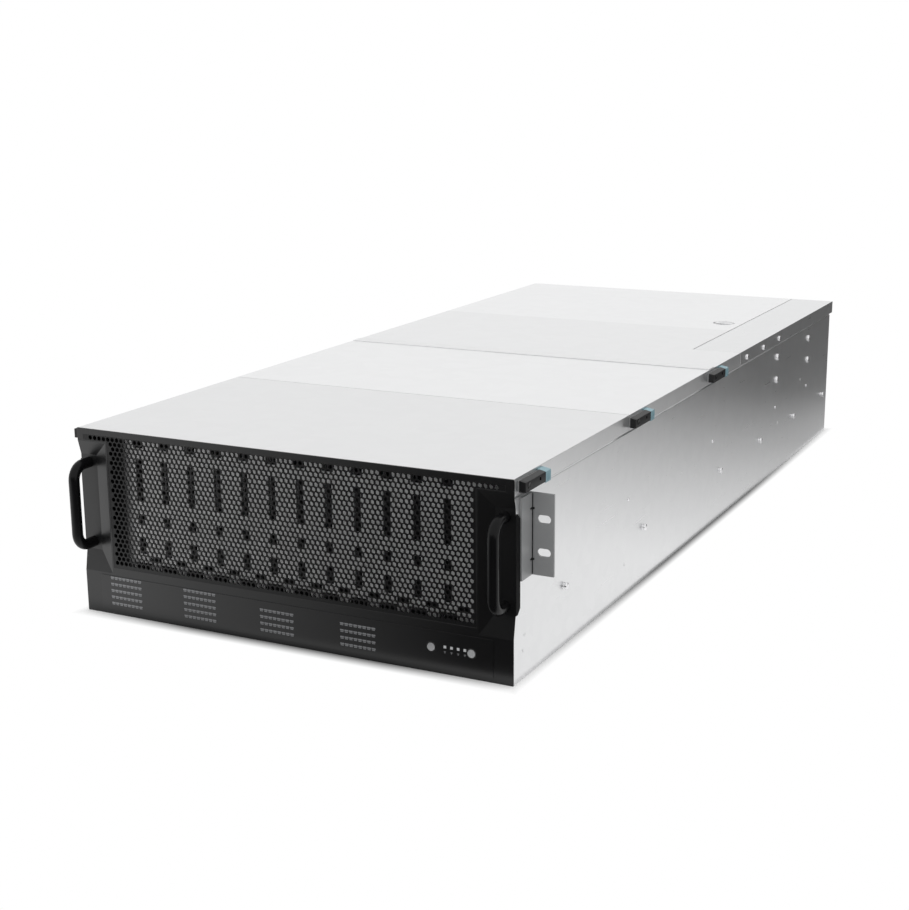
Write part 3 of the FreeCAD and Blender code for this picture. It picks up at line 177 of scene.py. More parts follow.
def platedSheet(name, look):  # rolled steel sheet with a faint crystal pattern
    crystal, clouding, worn, crystalRough, scratchRough = 0.25, 5, 1.8, 0.03, 0.04
    rollRelief, scratchRelief, crystalRelief = 0.7, 0.2, 0.05
    f = Finish(name)
    cells = f.add("TexVoronoi", {"Vector": f.place, "Scale": look["spangle"], "Randomness": 1}, "Color")
    tone = f.add("SeparateColor", {"Color": cells})
    cloud = f.noise(look["cloud"], 4)
    roll = f.noise(1, 2, 0.6, f.stretch(*look["roll"]))
    scratch = f.band(f.noise(1, 2, 0.5, f.stretch(*look["scratch"])), 0.68, 0.74)
    wear = f.band(f.noise(look["wear"], 5, 0.65), 0.55, 0.8)
    pattern = tone * crystal + crystal + cloud * look["patch"] * clouding
    light = f.mix(pattern, look["dark"], look["bright"])
    if "panelShades" in look:  # painted light and shade: each cover sheet along the length is drawn brighter or darker, standing in for the differing reflections of the sheets
        along = f.axis("Y")
        level = look["firstPanelShade"]
        for start, change in look["panelShades"]:
            level = level + (along > start) * change
        light = f.add("VectorMath", {"Vector": light, "Scale": level}, operation="SCALE")
    if "shadow" in look:  # painted shade: the left end takes the unlit colour, where it lies out of the light
        light = f.mix(f.ramp(f.axis("X"), look["shadow"], rate=90), look["unlit"], light)
    uneven = (cloud - 0.5) * look["patch"] + (tone - 0.5) * crystalRough - scratch * scratchRough
    height = roll * rollRelief + scratch * scratchRelief + tone * crystalRelief
    f.shade({
        "Base Color": f.mix(wear * look["patch"] * worn, light, look["dull"]),
        "Metallic": look["metal"],
        "Roughness": look["rough"] + uneven,
        "Normal": f.bump(height, look["relief"], 0.25),
    })


def powderCoat(name, dark, bright, rough, peel, relief, dusty, shine=0.5, shadedFlanks=None):  # baked paint
    clouding, cloudRough, dustRough = 0.6, 0.12, 0.05
    f = Finish(name)
    cloud = f.noise(9, 4)
    dust = f.band(f.noise(700, 2, 0.7), 0.66, 0.8)
    f.shade({
        "Base Color": f.mix(cloud * clouding + dust * dusty, dark, bright),
        "Roughness": rough + (cloud - 0.5) * cloudRough + dust * dustRough,
        "Normal": f.bump(f.noise(peel, 2, 0.5), relief, 0.35),
        "Specular IOR Level": shine,
    })
    if shadedFlanks:  # painted shade: faces that look sideways are made matt and almost unreflective, so they stay dark
        facing = f.axis("X", f.add("TexCoord", {}, "Normal"))
        matt = {"Base Color": shadedFlanks, "Roughness": 0.7, "Specular IOR Level": 0.08}
        f.cover(f.band(abs(facing), 0.75, 0.9), matt)


def moulding(name, dark, bright, rough, fine, relief, shine=0.5):  # plastic with an eroded grain
    clouding, rubbing, grainRough, rubRough = 0.5, 0.3, 0.15, 0.06
    f = Finish(name)
    grain = f.noise(fine, 3, 0.6)
    cloud = f.noise(30, 3)
    rub = f.band(f.noise(180, 4, 0.7), 0.58, 0.75)
    f.shade({
        "Base Color": f.mix(cloud * clouding + rub * rubbing, dark, bright),
        "Roughness": rough + (grain - 0.5) * grainRough - rub * rubRough,
        "Normal": f.bump(grain, relief, 0.4),
        "Specular IOR Level": shine,
    })


def solderMask(name, look):  # green board with copper tracks, pads and vias under the mask
    tracking, padMetal, trackRough, cloudRough, trackRelief = 0.8, 0.9, 0.05, 0.08, 0.6
    f = Finish(name)
    lanes = f.add("TexBrick", {
        "Vector": f.place, "Scale": look["lane"], "Mortar Size": 0.012, "Brick Width": 1.6,
        "Row Height": 0.11,
    }, "Fac", offset=0.35, squash=0.6, squash_frequency=3)
    spots = f.add("TexVoronoi", {"Vector": f.place, "Scale": look["via"]}, "Distance", feature="F1")
    vias = spots < look["viaSize"]
    rings = (spots < look["padSize"]) - vias
    cloud = f.noise(60, 3)
    tracked = f.mix(lanes * tracking, f.mix(cloud, look["dark"], look["bright"]), look["track"])
    f.shade({
        "Base Color": f.mix(rings, tracked, look["pad"]),
        "Metallic": rings * padMetal,
        "Roughness": look["rough"] - lanes * trackRough + cloud * cloudRough,
        "Normal": f.bump(lanes * trackRelief + rings - vias, look["relief"], 0.4),
    })


def bareMetal(name, dark, bright, rough, fine, relief, pull):  # cast, drawn or extruded metal
    clouding, marking, grainRough, cloudRough = 0.6, 0.25, 0.16, 0.1
    f = Finish(name)
    grain = f.noise(fine, 3, 0.6, f.stretch(*pull))
    cloud = f.noise(26, 4)
    marks = f.band(f.noise(240, 4, 0.7), 0.6, 0.72)
    f.shade({
        "Base Color": f.mix(cloud * clouding + marks * marking, dark, bright),
        "Metallic": 1.0,
        "Roughness": rough + (grain - 0.5) * grainRough + (cloud - 0.5) * cloudRough,
        "Normal": f.bump(grain, relief, 0.35),
    })


zinc = {"spangle": 90, "cloud": 7, "wear": 17, "roll": (900, 12, 900), "scratch": (500, 11, 500),
        "relief": 0.03}
platedSheet("cover_steel", {
    "dark": (0.763, 0.766, 0.77), "bright": (0.849, 0.852, 0.856), "dull": (0.731, 0.734, 0.74), "metal": 1.0,
    "rough": 0.36, "spangle": 70, "cloud": 5, "wear": 14, "roll": (700, 9, 700), "scratch": (400, 9, 400),
    # the panel tones are painted light and shade: where each cover sheet starts along the length, and how
    # much brighter or darker it is drawn
    "relief": 0.02, "patch": 0.03, "firstPanelShade": 0.94,
    "panelShades": ((-0.25, 0.08), (-0.0095, -0.04), (0.24, 0.05)),
})
platedSheet("zinc_steel", {
    **zinc, "dark": (0.68, 0.684, 0.69), "bright": (0.79, 0.793, 0.797), "dull": (0.63, 0.634, 0.64),
    "metal": 1.0, "rough": 0.3, "patch": 0.05,
})
platedSheet("cage_zinc", {
    **zinc, "dark": (0.8, 0.803, 0.808), "bright": (0.9, 0.903, 0.906), "dull": (0.76, 0.763, 0.768),
    # painted shade: left of the shadow mark the wall takes the unlit colour
    "metal": 0.36, "rough": 0.4, "patch": 0.1, "shadow": -0.177, "unlit": (0.01, 0.01, 0.01),
})
paints = {
    # the bezel's sideways faces get painted shade: matt and almost unreflective
    "bezel_black": {"dark": (0.0046, 0.0046, 0.005), "bright": (0.0072, 0.0072, 0.0077), "rough": 0.34,
                    "peel": 900, "relief": 0.05, "dusty": 0.5, "shadedFlanks": (0.006, 0.006, 0.0064)},
    "grille_black": {"dark": (0.006, 0.006, 0.0064), "bright": (0.009, 0.009, 0.0095), "rough": 0.36,
                     "peel": 900, "relief": 0.05, "dusty": 0.4, "shine": 0.3},
    "film_black": {"dark": (0.006, 0.006, 0.0064), "bright": (0.008, 0.008, 0.0085), "rough": 0.3,
                   "peel": 2600, "relief": 0.015, "dusty": 0.3},
    "handle_black": {"dark": (0.004, 0.004, 0.0044), "bright": (0.007, 0.007, 0.0075), "rough": 0.24,
                     "peel": 700, "relief": 0.02, "dusty": 0.3, "shine": 0.16},
    # painted shade: the ears, likely the walls' plated steel, are drawn as a flat darker grey for the dim
    # front they face
    "ear_steel": {"dark": (0.262, 0.266, 0.27), "bright": (0.332, 0.336, 0.34), "rough": 0.42, "peel": 1100,
                  "relief": 0.03, "dusty": 0.2},
}
for name, look in paints.items():
    powderCoat(name, **look)
plastics = {
    "window_grey": {"dark": (0.196, 0.199, 0.207), "bright": (0.308, 0.314, 0.325), "rough": 0.35,
                    "fine": 2400, "relief": 0.02},
    "light_pale": {"dark": (0.52, 0.53, 0.54), "bright": (0.70, 0.71, 0.72), "rough": 0.25, "fine": 2400,
                   "relief": 0.01},
    "button_grey": {"dark": (0.36, 0.366, 0.372), "bright": (0.5, 0.506, 0.512), "rough": 0.38,
                    "fine": 2000, "relief": 0.03},
    "carrier_plastic": {"dark": (0.022, 0.022, 0.024), "bright": (0.038, 0.038, 0.041), "rough": 0.5,
                        "fine": 1500, "relief": 0.06},
    "fan_plastic": {"dark": (0.012, 0.012, 0.013), "bright": (0.024, 0.024, 0.026), "rough": 0.42,
                    "fine": 1200, "relief": 0.05},
    "latch_black": {"dark": (0.006, 0.006, 0.0066), "bright": (0.013, 0.013, 0.014), "rough": 0.46,
                    "fine": 1700, "relief": 0.06, "shine": 0.38},
    "tab_blue": {"dark": (0.22, 0.37, 0.423), "bright": (0.3, 0.458, 0.502), "rough": 0.45, "fine": 1700,
                 "relief": 0.05},
    "release_green": {"dark": (0.05, 0.23, 0.20), "bright": (0.08, 0.31, 0.27), "rough": 0.45, "fine": 1700,
                      "relief": 0.05},
}
for name, look in plastics.items():
    moulding(name, **look)
solderMask("circuit_board", {
    "lane": 55, "via": 210, "viaSize": 0.13, "padSize": 0.2, "dark": (0.012, 0.085, 0.04),
    "bright": (0.022, 0.12, 0.06), "track": (0.05, 0.21, 0.10), "pad": (0.66, 0.6, 0.42), "rough": 0.38,
    "relief": 0.05,
})
metals = {
    "bright_fastener": {"dark": (0.76, 0.76, 0.77), "bright": (0.9, 0.9, 0.91), "rough": 0.2, "fine": 900,
                        "relief": 0.01, "pull": (1, 1, 1)},
    "drive_case": {"dark": (0.46, 0.465, 0.48), "bright": (0.60, 0.605, 0.62), "rough": 0.46, "fine": 800,
                   "relief": 0.06, "pull": (1, 1, 1)},
    "sink_aluminium": {"dark": (0.62, 0.625, 0.63), "bright": (0.75, 0.755, 0.76), "rough": 0.34,
                       "fine": 1500, "relief": 0.03, "pull": (1, 0.02, 1)},
    "port_shell": {"dark": (0.58, 0.585, 0.59), "bright": (0.70, 0.705, 0.71), "rough": 0.26, "fine": 1500,
                   "relief": 0.02, "pull": (1, 0.05, 1)},
    "supply_case": {"dark": (0.44, 0.445, 0.46), "bright": (0.56, 0.565, 0.58), "rough": 0.4, "fine": 1300,
                    "relief": 0.03, "pull": (1, 0.03, 1)},
}
for name, look in metals.items():
    bareMetal(name, **look)
print("finishes", len(finishes))


def addBlock(bm, low, high, soft=0.0, steps=1):
    made = bmesh.ops.create_cube(bm, size=1)["verts"]
    middle = (at(*low) + at(*high)) / 2
    span = at(*high) - at(*low)
    for vert in made:
        vert.co = middle + Vector([vert.co[k] * span[k] for k in range(3)])
    if soft:
        edges = list({edge for vert in made for edge in vert.link_edges})
        bmesh.ops.bevel(bm, geom=edges, offset=soft * mm, segments=steps, profile=0.5, affect="EDGES")


def addBlocks(bm, corner, rows):  # row: left, right, front, back, foot, head, and how soft the edges are
    x, y, z = corner
    for left, right, front, back, foot, head, *soft in rows:
        addBlock(bm, (x + left, y + front, z + foot), (x + right, y + back, z + head), *soft)


def addLathe(bm, foot, axis, profile, steps=24):  # profile: radius and height pairs along the axis
    turn = Vector((0, 0, 1)).rotation_difference(Vector(axis)).to_matrix()
    rings = []
    for radius, height in profile:
        angles = turns(steps) if radius else (0,)
        spots = [Vector((radius * math.cos(a), radius * math.sin(a), height)) * mm for a in angles]
        rings.append([bm.verts.new(at(*foot) + turn @ spot) for spot in spots])
    for one, two in zip(rings, rings[1:]):
        for k in range(steps):
            ring = [one[k % len(one)], one[(k + 1) % len(one)], two[(k + 1) % len(two)], two[k % len(two)]]
            corners = list(dict.fromkeys(ring))
            if len(corners) > 2:
                bm.faces.new(corners)


def skin(bm, rings):  # quads between neighbouring rings of equal count
    for one, two in zip(rings, rings[1:]):
        for k in range(len(one)):
            n = (k + 1) % len(one)
            bm.faces.new((one[k], one[n], two[n], two[k]))


def addTube(bm, path, radius, corners, closed=False):  # round bar along points in millimetres
    spots = [at(*spot) for spot in path]
    count = len(spots)
    side = None
    rings = []
    for k, spot in enumerate(spots):
        before = spots[k - 1] if closed or k else spot
        after = spots[(k + 1) % count] if closed or k < count - 1 else spot
        along = (after - before).normalized()
        side = side or along.orthogonal()
        side = (side - along * side.dot(along)).normalized()
        up = along.cross(side)
        outs = [side * math.cos(a) + up * math.sin(a) for a in turns(corners)]
        rings.append([bm.verts.new(spot + out * radius * mm) for out in outs])
    if closed:
        rings.append(rings[0])
    else:
        bm.faces.new(rings[0])
        bm.faces.new(rings[-1])
    skin(bm, rings)


def addLoft(bm, outlines):  # skin over outlines of equal count, closed at both ends
    rings = [[bm.verts.new(at(*spot)) for spot in outline] for outline in outlines]
    bm.faces.new(rings[0])
    bm.faces.new(rings[-1])
    skin(bm, rings)


def meshObject(name, bm, material):
    mesh = bpy.data.meshes.new(name)
    bm.to_mesh(mesh)
    bm.free()
    mesh.materials.append(material)
    obj = bpy.data.objects.new(name, mesh)
    scene.collection.objects.link(obj)
    return obj


def addPiece(name, bm, slot, body="chassis", stands=(), sharp=40):
    bmesh.ops.recalc_face_normals(bm, faces=bm.faces[:])
    piece = meshObject(name, bm, finishes[slot])
    piece.data.shade_smooth()
    piece.data.set_sharp_from_angle(angle=math.radians(sharp))
    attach(piece, body)
    if stands:
        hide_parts(*stands)


def dressNodes():  # each CAD node takes the finish of its slot, sheet edges are broken a little
    edges = {
        "front_bezel": 0.35, "right_side_wall": 0.25, "left_side_wall": 0.25, "rear_panel": 0.2,
        "front_cover": 0.35, "middle_cover": 0.35, "rear_cover": 0.35, "psu_cage": 0.3, "status_overlay": 0.1,
        "power_supply_lower": 0.4, "power_supply_upper": 0.4, "cross_beams": 0.3,
    }
    bend = math.radians(30)  # only sharper edges are broken
    special = {"cage_front_wall": "cage_zinc"}  # duller sheet, lit through the mesh, with painted shade on its left end
    for part in frame["record"]["subparts"]:
        mesh = nodes[part["node"]].data
        mesh.materials.clear()
        mesh.materials.append(finishes[special.get(part["node"], part["material_slot"])])
    for name, width in edges.items():
        weld = nodes[name].modifiers.new("weld", "WELD")
        weld.merge_threshold = weldGap
        bevel = nodes[name].modifiers.new("bevel", "BEVEL")
        bevel.width = width * mm
        bevel.segments = 2
        bevel.limit_method = "ANGLE"
        bevel.angle_limit = bend
    print("dressed", len(nodes), "nodes")


dressNodes()


def cut(bm, normal, spot, clear):  # splits faces at a plane, and drops what lies beyond it if asked
    geometry = bm.verts[:] + bm.edges[:] + bm.faces[:]
    bmesh.ops.bisect_plane(bm, geom=geometry, plane_co=spot, plane_no=normal, clear_outer=clear, dist=cutGap)


def faceSpot(vert):  # place across the front, to a thousandth of a millimetre
    return round(vert.co.x, 6), round(vert.co.z, 6)


def closeRim(bm):  # joins the open front and back outlines of a plate
    thin = 0.1 * mm
    spots = {}
    for vert in bm.verts:
        spots.setdefault(faceSpot(vert), []).append(vert)
    front = min(vert.co.y for vert in bm.verts)
    for edge in [e for e in bm.edges if e.is_boundary and max(v.co.y for v in e.verts) < front + thin]:
        twins = []
        for vert in edge.verts:
            twins += [other for other in spots[faceSpot(vert)] if other is not vert]
        if len(twins) == 2:
            bm.faces.new((edge.verts[0], edge.verts[1], twins[1], twins[0]))


def honeycomb():  # the fine six-sided mesh of the front grille
    grille = {"pitch": 5.0, "web": 1.15, "topRow": 168.0, "main": 186.6, "shoulder": 165.6, "rim": 0.6,
              "columns": 45}
    low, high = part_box("front_grille")
    head = high.x / mm
    foot = low.z / mm
    top = high.z / mm
    faces = (low.y / mm - faceY, high.y / mm - faceY)
    pitch = grille["pitch"]
    main = grille["main"]
    rim = grille["rim"]
    rise = pitch * math.sqrt(3) / 2
    outer = pitch / math.sqrt(3)
    inner = (pitch - grille["web"]) / math.sqrt(3)
    turn = [(math.sin(math.pi * k / 3), math.cos(math.pi * k / 3)) for k in range(6)]
    bm = bmesh.new()
    rows = int((top - foot) / rise) + 2
    for row in range(-1, rows):
        z = grille["topRow"] - row * rise
        reach = head if row == 0 else main
        for column in range(-grille["columns"], grille["columns"] + 1):
            x = (column + 0.5 * (row % 2)) * pitch
            if abs(x) > (head if row < 2 else main) + pitch:
                continue
            pierced = 0 <= row and abs(x) + pitch / 2 < reach - rim and z - inner > foot + rim
            rims = [[bm.verts.new(at(x + outer * s, y, z + outer * c)) for s, c in turn] for y in faces]
            if not pierced:
                for outline in rims:
                    bm.faces.new(outline)
                continue
            holes = [[bm.verts.new(at(x + inner * s, y, z + inner * c)) for s, c in turn] for y in faces]
            for k in range(6):
                n = (k + 1) % 6
                for outline, hole in zip(rims, holes):
                    bm.faces.new((outline[k], outline[n], hole[n], hole[k]))
                bm.faces.new((holes[0][k], holes[0][n], holes[1][n], holes[1][k]))
    bmesh.ops.remove_doubles(bm, verts=bm.verts[:], dist=weldGap)
    for normal, spot, clear in (
            ((0, 0, -1), (0, 0, foot), True), ((0, 0, 1), (0, 0, top), True), ((1, 0, 0), (head, 0, 0), True),
            ((-1, 0, 0), (-head, 0, 0), True), ((0, 0, 1), (0, 0, grille["shoulder"]), False),
            ((1, 0, 0), (main, 0, 0), False), ((1, 0, 0), (-main, 0, 0), False)):
        cut(bm, normal, at(*spot), clear)
    spare = []
    for face in bm.faces:
        middle = face.calc_center_median()
        if abs(middle.x) > main * mm and middle.z < grille["shoulder"] * mm:
            spare.append(face)
    bmesh.ops.delete(bm, geom=spare, context="FACES")
    closeRim(bm)
    addPiece("honeycomb_grille", bm, "grille_black", stands=("front_grille",), sharp=30)
    print("honeycomb rows", rows)


honeycomb()


def statusFilm():  # dashes of the status windows, printed marks under the lights
    status = {"first": -191.5, "block": 82.3, "counts": (5, 5, 4, 4), "row": 6.2, "low": 10.8, "length": 35.6,
              "strip": (0, 35.6, -0.36, 1.4, -0.9, 0.9), "dashes": 8, "gap": 0.5, "front": -0.46, "root": 0.2,
              "soft": 0.15, "bars": ((0, 1, -0.1, 1.4), (0.08, 0.9, -1.3, -0.35))}
    step = status["length"] / status["dashes"]
    wide = step - status["gap"]
    dash = [(wide * near, wide * far, status["front"], status["root"], foot, head, status["soft"])
            for near, far, foot, head in status["bars"]]
    dashes, strips, marks = (bmesh.new() for k in range(3))
    for block, count in enumerate(status["counts"]):
        left = status["first"] + block * status["block"]
        for z in spread(status["low"], status["row"], count):
            addBlocks(strips, (left, 0, z), (status["strip"],))
            for x in spread(left + status["gap"] / 2, step, status["dashes"]):
                addBlocks(dashes, (x, 0, z), dash)
    addPiece("status_dashes", dashes, "window_grey", stands=("status_windows",))
    addPiece("status_strips", strips, "film_black")
    mark = {"x": spread(176, -6.2, 4),
            "bars": ((-1, 1, -0.43, -0.3, 20.1, 20.7), (-0.35, 0.35, -0.43, -0.3, 18.9, 20.2))}
    for x in mark["x"]:
        addBlocks(marks, (x, 0, 0), mark["bars"])
    addPiece("light_marks", marks, "window_grey")
    print("status film")


statusFilm()


def pushButtons():  # dished caps in a dark ring
    button = {"dia": 7.1, "z": 22.6, "face": -1.2, "root": 5.2, "film": -0.4, "steps": 32,
              "x": {"power_button": 182.1, "locate_button": 144.4},
              "dish": ((0, 0.45), (0.45, 0.4), (0.72, 0.2), (0.86, 0.02), (0.93, 0.05), (1, 0.35), (1, 2.6)),
              "flange": ((0.7, 2.9), (0.7, 3.5)), "stem": 0.6, "stemFront": 3.6,
              "ring": ((0.3, 0.1), (0.32, -0.25), (0.7, -0.3), (1.1, 0.02))}
    radius = button["dia"] / 2
    depth = button["root"] - button["face"]
    stem = radius * button["stem"]
    profile = [(radius * out, deep) for out, deep in button["dish"]]
    profile += [(radius + out, deep) for out, deep in button["flange"]]
    profile += [(stem, button["stemFront"]), (stem, depth), (0, depth)]
    rim = [(radius + out, deep) for out, deep in button["ring"]]
    for name, x in button["x"].items():
        cap, ring = (bmesh.new() for k in range(2))
        addLathe(cap, (x, button["face"], button["z"]), (0, 1, 0), profile, button["steps"])
        addPiece(name + "_cap", cap, "button_grey", body=name, stands=(name,))
        addLathe(ring, (x, button["film"], button["z"]), (0, 1, 0), rim, button["steps"])
        addPiece(name + "_ring", ring, "film_black")
    print("buttons")


pushButtons()


def carryHandles():  # bent round bars standing in the wells
    handle = {"x": 211, "root": 3.4, "front": -24, "dia": 10, "mid": 105.5, "centres": 76, "bend": 13,
              "arc": 8, "lead": 4, "grip": 12, "corners": 24}
    radius = handle["dia"] / 2
    bar = handle["front"] + radius
    bend = handle["bend"]
    knee = bar + bend
    mid = handle["mid"]
    top = mid + handle["centres"] / 2
    half = [(handle["root"], top), (knee + handle["lead"], top)]
    for k in range(handle["arc"] + 1):
        a = math.pi / 2 * k / handle["arc"]
        half.append((knee - bend * math.sin(a), top - bend + bend * math.cos(a)))
    half.append((bar, mid + handle["grip"]))
    path = half + [(y, 2 * mid - z) for y, z in reversed(half)]
    for sign, label in sides:
        bm = bmesh.new()
        addTube(bm, [(sign * handle["x"], y, z) for y, z in path], radius, handle["corners"])
        addPiece("carry_handle_" + label, bm, "handle_black", stands=("handle_" + label,), sharp=50)
    print("handles")


carryHandles()


def wallFixings():  # headed rail studs, pan-head screws and rivets of the side walls
    wall = 220
    stud = {"z": 55, "y": (106, 303, 545, 700, 847, 993), "steps": 28,
            "profile": ((3.1, -0.1), (3.0, 0.25), (2.5, 0.6), (2.5, 2.0), (3.3, 2.0), (3.5, 2.2), (3.4, 2.7),
                        (3.0, 3.3), (2.2, 3.75), (1.2, 3.95), (0, 4.0))}
    studs, heads, slots, rivets = (bmesh.new() for k in range(4))
    for sign, label in sides:
        for y in stud["y"]:
            addLathe(studs, (sign * wall, y, stud["z"]), (sign, 0, 0), stud["profile"], stud["steps"])
    addPiece("rail_stud_heads", studs, "bright_fastener", stands=("rail_studs",))

    screw = {"dia": 6.4, "large": 8.4, "pin": 3.6, "tall": 1.9, "sunk": 0.05, "beamY": (260, 518),
             "beamZ": 94, "cageY": (910, 765), "cageZ": ((145, "large"), (117, "large"), (82.7, "pin")),
             "stripY": (637.2, 703.7, 770.2), "stripZ": 167,
             "dome": ((1, 0.3), (0.92, 0.62), (0.7, 0.9), (0.4, 0.99), (0, 1)),
             "cross": ((-0.5, 0.03, -1.5, 1.5, -0.35, 0.35), (-0.5, 0.03, -0.35, 0.35, -1.5, 1.5))}
    spots = [(sign, y, screw["beamZ"], screw["pin"]) for sign, label in sides for y in screw["beamY"]]
    for y in screw["cageY"]:
        spots += [(1, y, z, screw[kind]) for z, kind in screw["cageZ"]]
    spots += [(1, y, screw["stripZ"], screw["dia"]) for y in screw["stripY"]]
    for sign, y, z, dia in spots:
        radius = dia / 2
        tall = screw["tall"] * dia / screw["dia"]
        profile = [(radius, -screw["sunk"])] + [(radius * out, tall * up) for out, up in screw["dome"]]
        addLathe(heads, (sign * wall, y, z), (sign, 0, 0), profile)
        if dia > screw["pin"]:  # all on the right wall
            # painted shade: each cross recess is drawn as a dark cross on the head
            addBlocks(slots, (wall + tall, y, z), screw["cross"])
    addPiece("panel_screw_heads", heads, "bright_fastener", stands=("panel_screws",))
    addPiece("panel_screw_recess_shades", slots, "fan_plastic")

    rivet = {"spots": ((20, 25), (23, 38), (253, 31), (417, 82), (620, 26), (780, 60), (880, 96)),
             "steps": 20, "profile": ((2.0, 0), (1.9, 0.18), (1.3, 0.22), (1.1, 0.06), (0, 0.05))}
    for y, z in rivet["spots"]:
        addLathe(rivets, (wall, y, z), (1, 0, 0), rivet["profile"], rivet["steps"])
    addPiece("wall_rivets", rivets, "zinc_steel")
    print("wall fixings", len(spots))


wallFixings()


def leverOutline(latch, sign, y, thick, low, high, slit):  # a lever cut across, its top falls to the outside
    ease = latch["ease"]
    soft = ease * latch["round"]
    edge = high - latch["fall"]
    outline = [(slit, low), (thick, low), (thick, high)]
    if high == latch["top"]:
        outline[-1:] = [(thick, edge - ease), (thick - soft, edge - soft), (thick - ease, edge)]
    return [(sign * (latch["inner"] + out), y, z) for out, z in outline + [(slit, high)]]


def coverLatches():  # levers with a pin cap and a dark recess, spacers behind them in a flat grey that is painted shade for the skirt seen there, pale tabs with ribs
    latch = {"inner": 220.3, "thick": 8, "z": 169.5, "long": 40, "low": 164.5, "top": 174.2, "fall": 1.3,
             "ease": 0.5, "round": 0.3, "slit": 2.1, "nose": ((0, 7.6), (0.4, 8)),
             "holes": ((7, 2.4), (29, 1.5)), "pad": 173.3, "padInset": 1.2,
             "tail": ((0, 0), (10.2, 0), (11, 0.8)), "tailDrop": 1,
             "cap": ((2.6, -0.2), (2.6, 0.3), (2.2, 0.34), (1.3, 0.1), (0, 0.06)), "capSteps": 20}
    rib = {"y": spread(2.4, 2.9, 3), "long": 1.3, "z": (164.4, 171.4), "out": (-0.1, 0.45)}
    starts = {"front": 5.8, "middle": 255.5, "rear": 490.0}
    low, top, thick, slit = latch["low"], latch["top"], latch["thick"], latch["slit"]
    for place, start in starts.items():
        for sign, side in sides:
            x = sign * (latch["inner"] + thick)
            label = place + "_{}_" + side
            body = label.format("latch")
            end = start + latch["long"]
            cuts = [(start + along - half, start + along + half, half) for along, half in latch["holes"]]
            bar, spacer, grip, dots, ribs = (bmesh.new() for k in range(5))
            nose = [(start + along, out) for along, out in latch["nose"]] + [(cuts[0][0], thick)]
            addLoft(bar, [leverOutline(latch, sign, y, out, low, top, slit) for y, out in nose])
            for (near, far, half), after in zip(cuts, (cuts[1][0], end)):
                for foot, head in ((low, latch["z"] - half), (latch["z"] + half, top)):
                    addLoft(bar, [leverOutline(latch, sign, y, thick, foot, head, slit) for y in (near, far)])
                addLoft(bar, [leverOutline(latch, sign, y, thick, low, top, slit) for y in (far, after)])
            addPiece(label.format("lever_bar"), bar, "latch_black", body, (label.format("lever"),))
            near, far, half = cuts[0]
            left, right = sorted((sign * latch["inner"], sign * (latch["inner"] + slit)))
            addBlocks(spacer, (0, 0, 0), (
                (left, right, start + latch["padInset"], near, low, latch["pad"]),
                (left, right, near, far, low, latch["z"] - half),
                (left, right, near, far, latch["z"] + half, latch["pad"]),
                (left, right, far, end, low, latch["pad"])))
            # the spacer's flat grey is painted shade: it stands for the skirt seen in shade behind the lever
            addPiece(label.format("lever_spacer_shade"), spacer, "ear_steel", body=body)
            foot = low - latch["tailDrop"]
            addLoft(grip, [leverOutline(latch, sign, end + along, thick - inset, foot, top, 0)
                           for along, inset in latch["tail"]])
            addPiece(label.format("tab_grip"), grip, "tab_blue", body=body, stands=(label.format("tab"),))
            pin = (x, start + latch["holes"][0][0], latch["z"])
            addLathe(dots, pin, (sign, 0, 0), latch["cap"], latch["capSteps"])
            addPiece(label.format("lever_dots"), dots, "handle_black", body=body)
            left, right = sorted(x + sign * out for out in rib["out"])
            rows = [(left, right, y, y + rib["long"], *rib["z"], 0.2, 2) for y in rib["y"]]
            addBlocks(ribs, (0, end, 0), rows)
            addPiece(label.format("tab_ribs"), ribs, "tab_blue", body=body)
    print("latches")


coverLatches()


def sheetEdges():  # folded rear edge of the middle cover; painted shade at the ears: dark blocks fill the bend notches and a dark strip runs along the inside of each bend
    hem = {"reach": 219.4, "front": 500.5, "deep": 16.5, "low": 175.9, "tall": 0.85}
    bm = bmesh.new()
    addBlock(bm, (-hem["reach"], hem["front"], hem["low"]),
             (hem["reach"], hem["front"] + hem["deep"], hem["low"] + hem["tall"]), 0.2, 2)
    addPiece("middle_cover_hem", bm, "cover_steel", body="middle_cover")
    notchShade = {"z": (101, 144.5), "half": 0.97, "near": 220.05,
             "cuts": ((221.2, 29.1, 34.7), (223.9, 33.3, 34.7)),
             "bendShadeX": (221.95, 222.8), "bendShadeY": (32.3, 33.05), "bendShadeZ": (88.2, 157.3)}
    for sign, label in sides:
        bm = bmesh.new()
        # dark blocks in the notches: painted shade
        for z in notchShade["z"]:
            for far, front, back in notchShade["cuts"]:
                left, right = sorted((sign * notchShade["near"], sign * far))
                addBlock(bm, (left, front, z - notchShade["half"]), (right, back, z + notchShade["half"]), 0.1)
        # painted shadow line along the inside corner of the bend
        addBlock(bm, *zip(sorted(sign * x for x in notchShade["bendShadeX"]), notchShade["bendShadeY"], notchShade["bendShadeZ"]), 0.2)
        addPiece("ear_notches_" + label, bm, "latch_black")
    print("sheet edges")


sheetEdges()


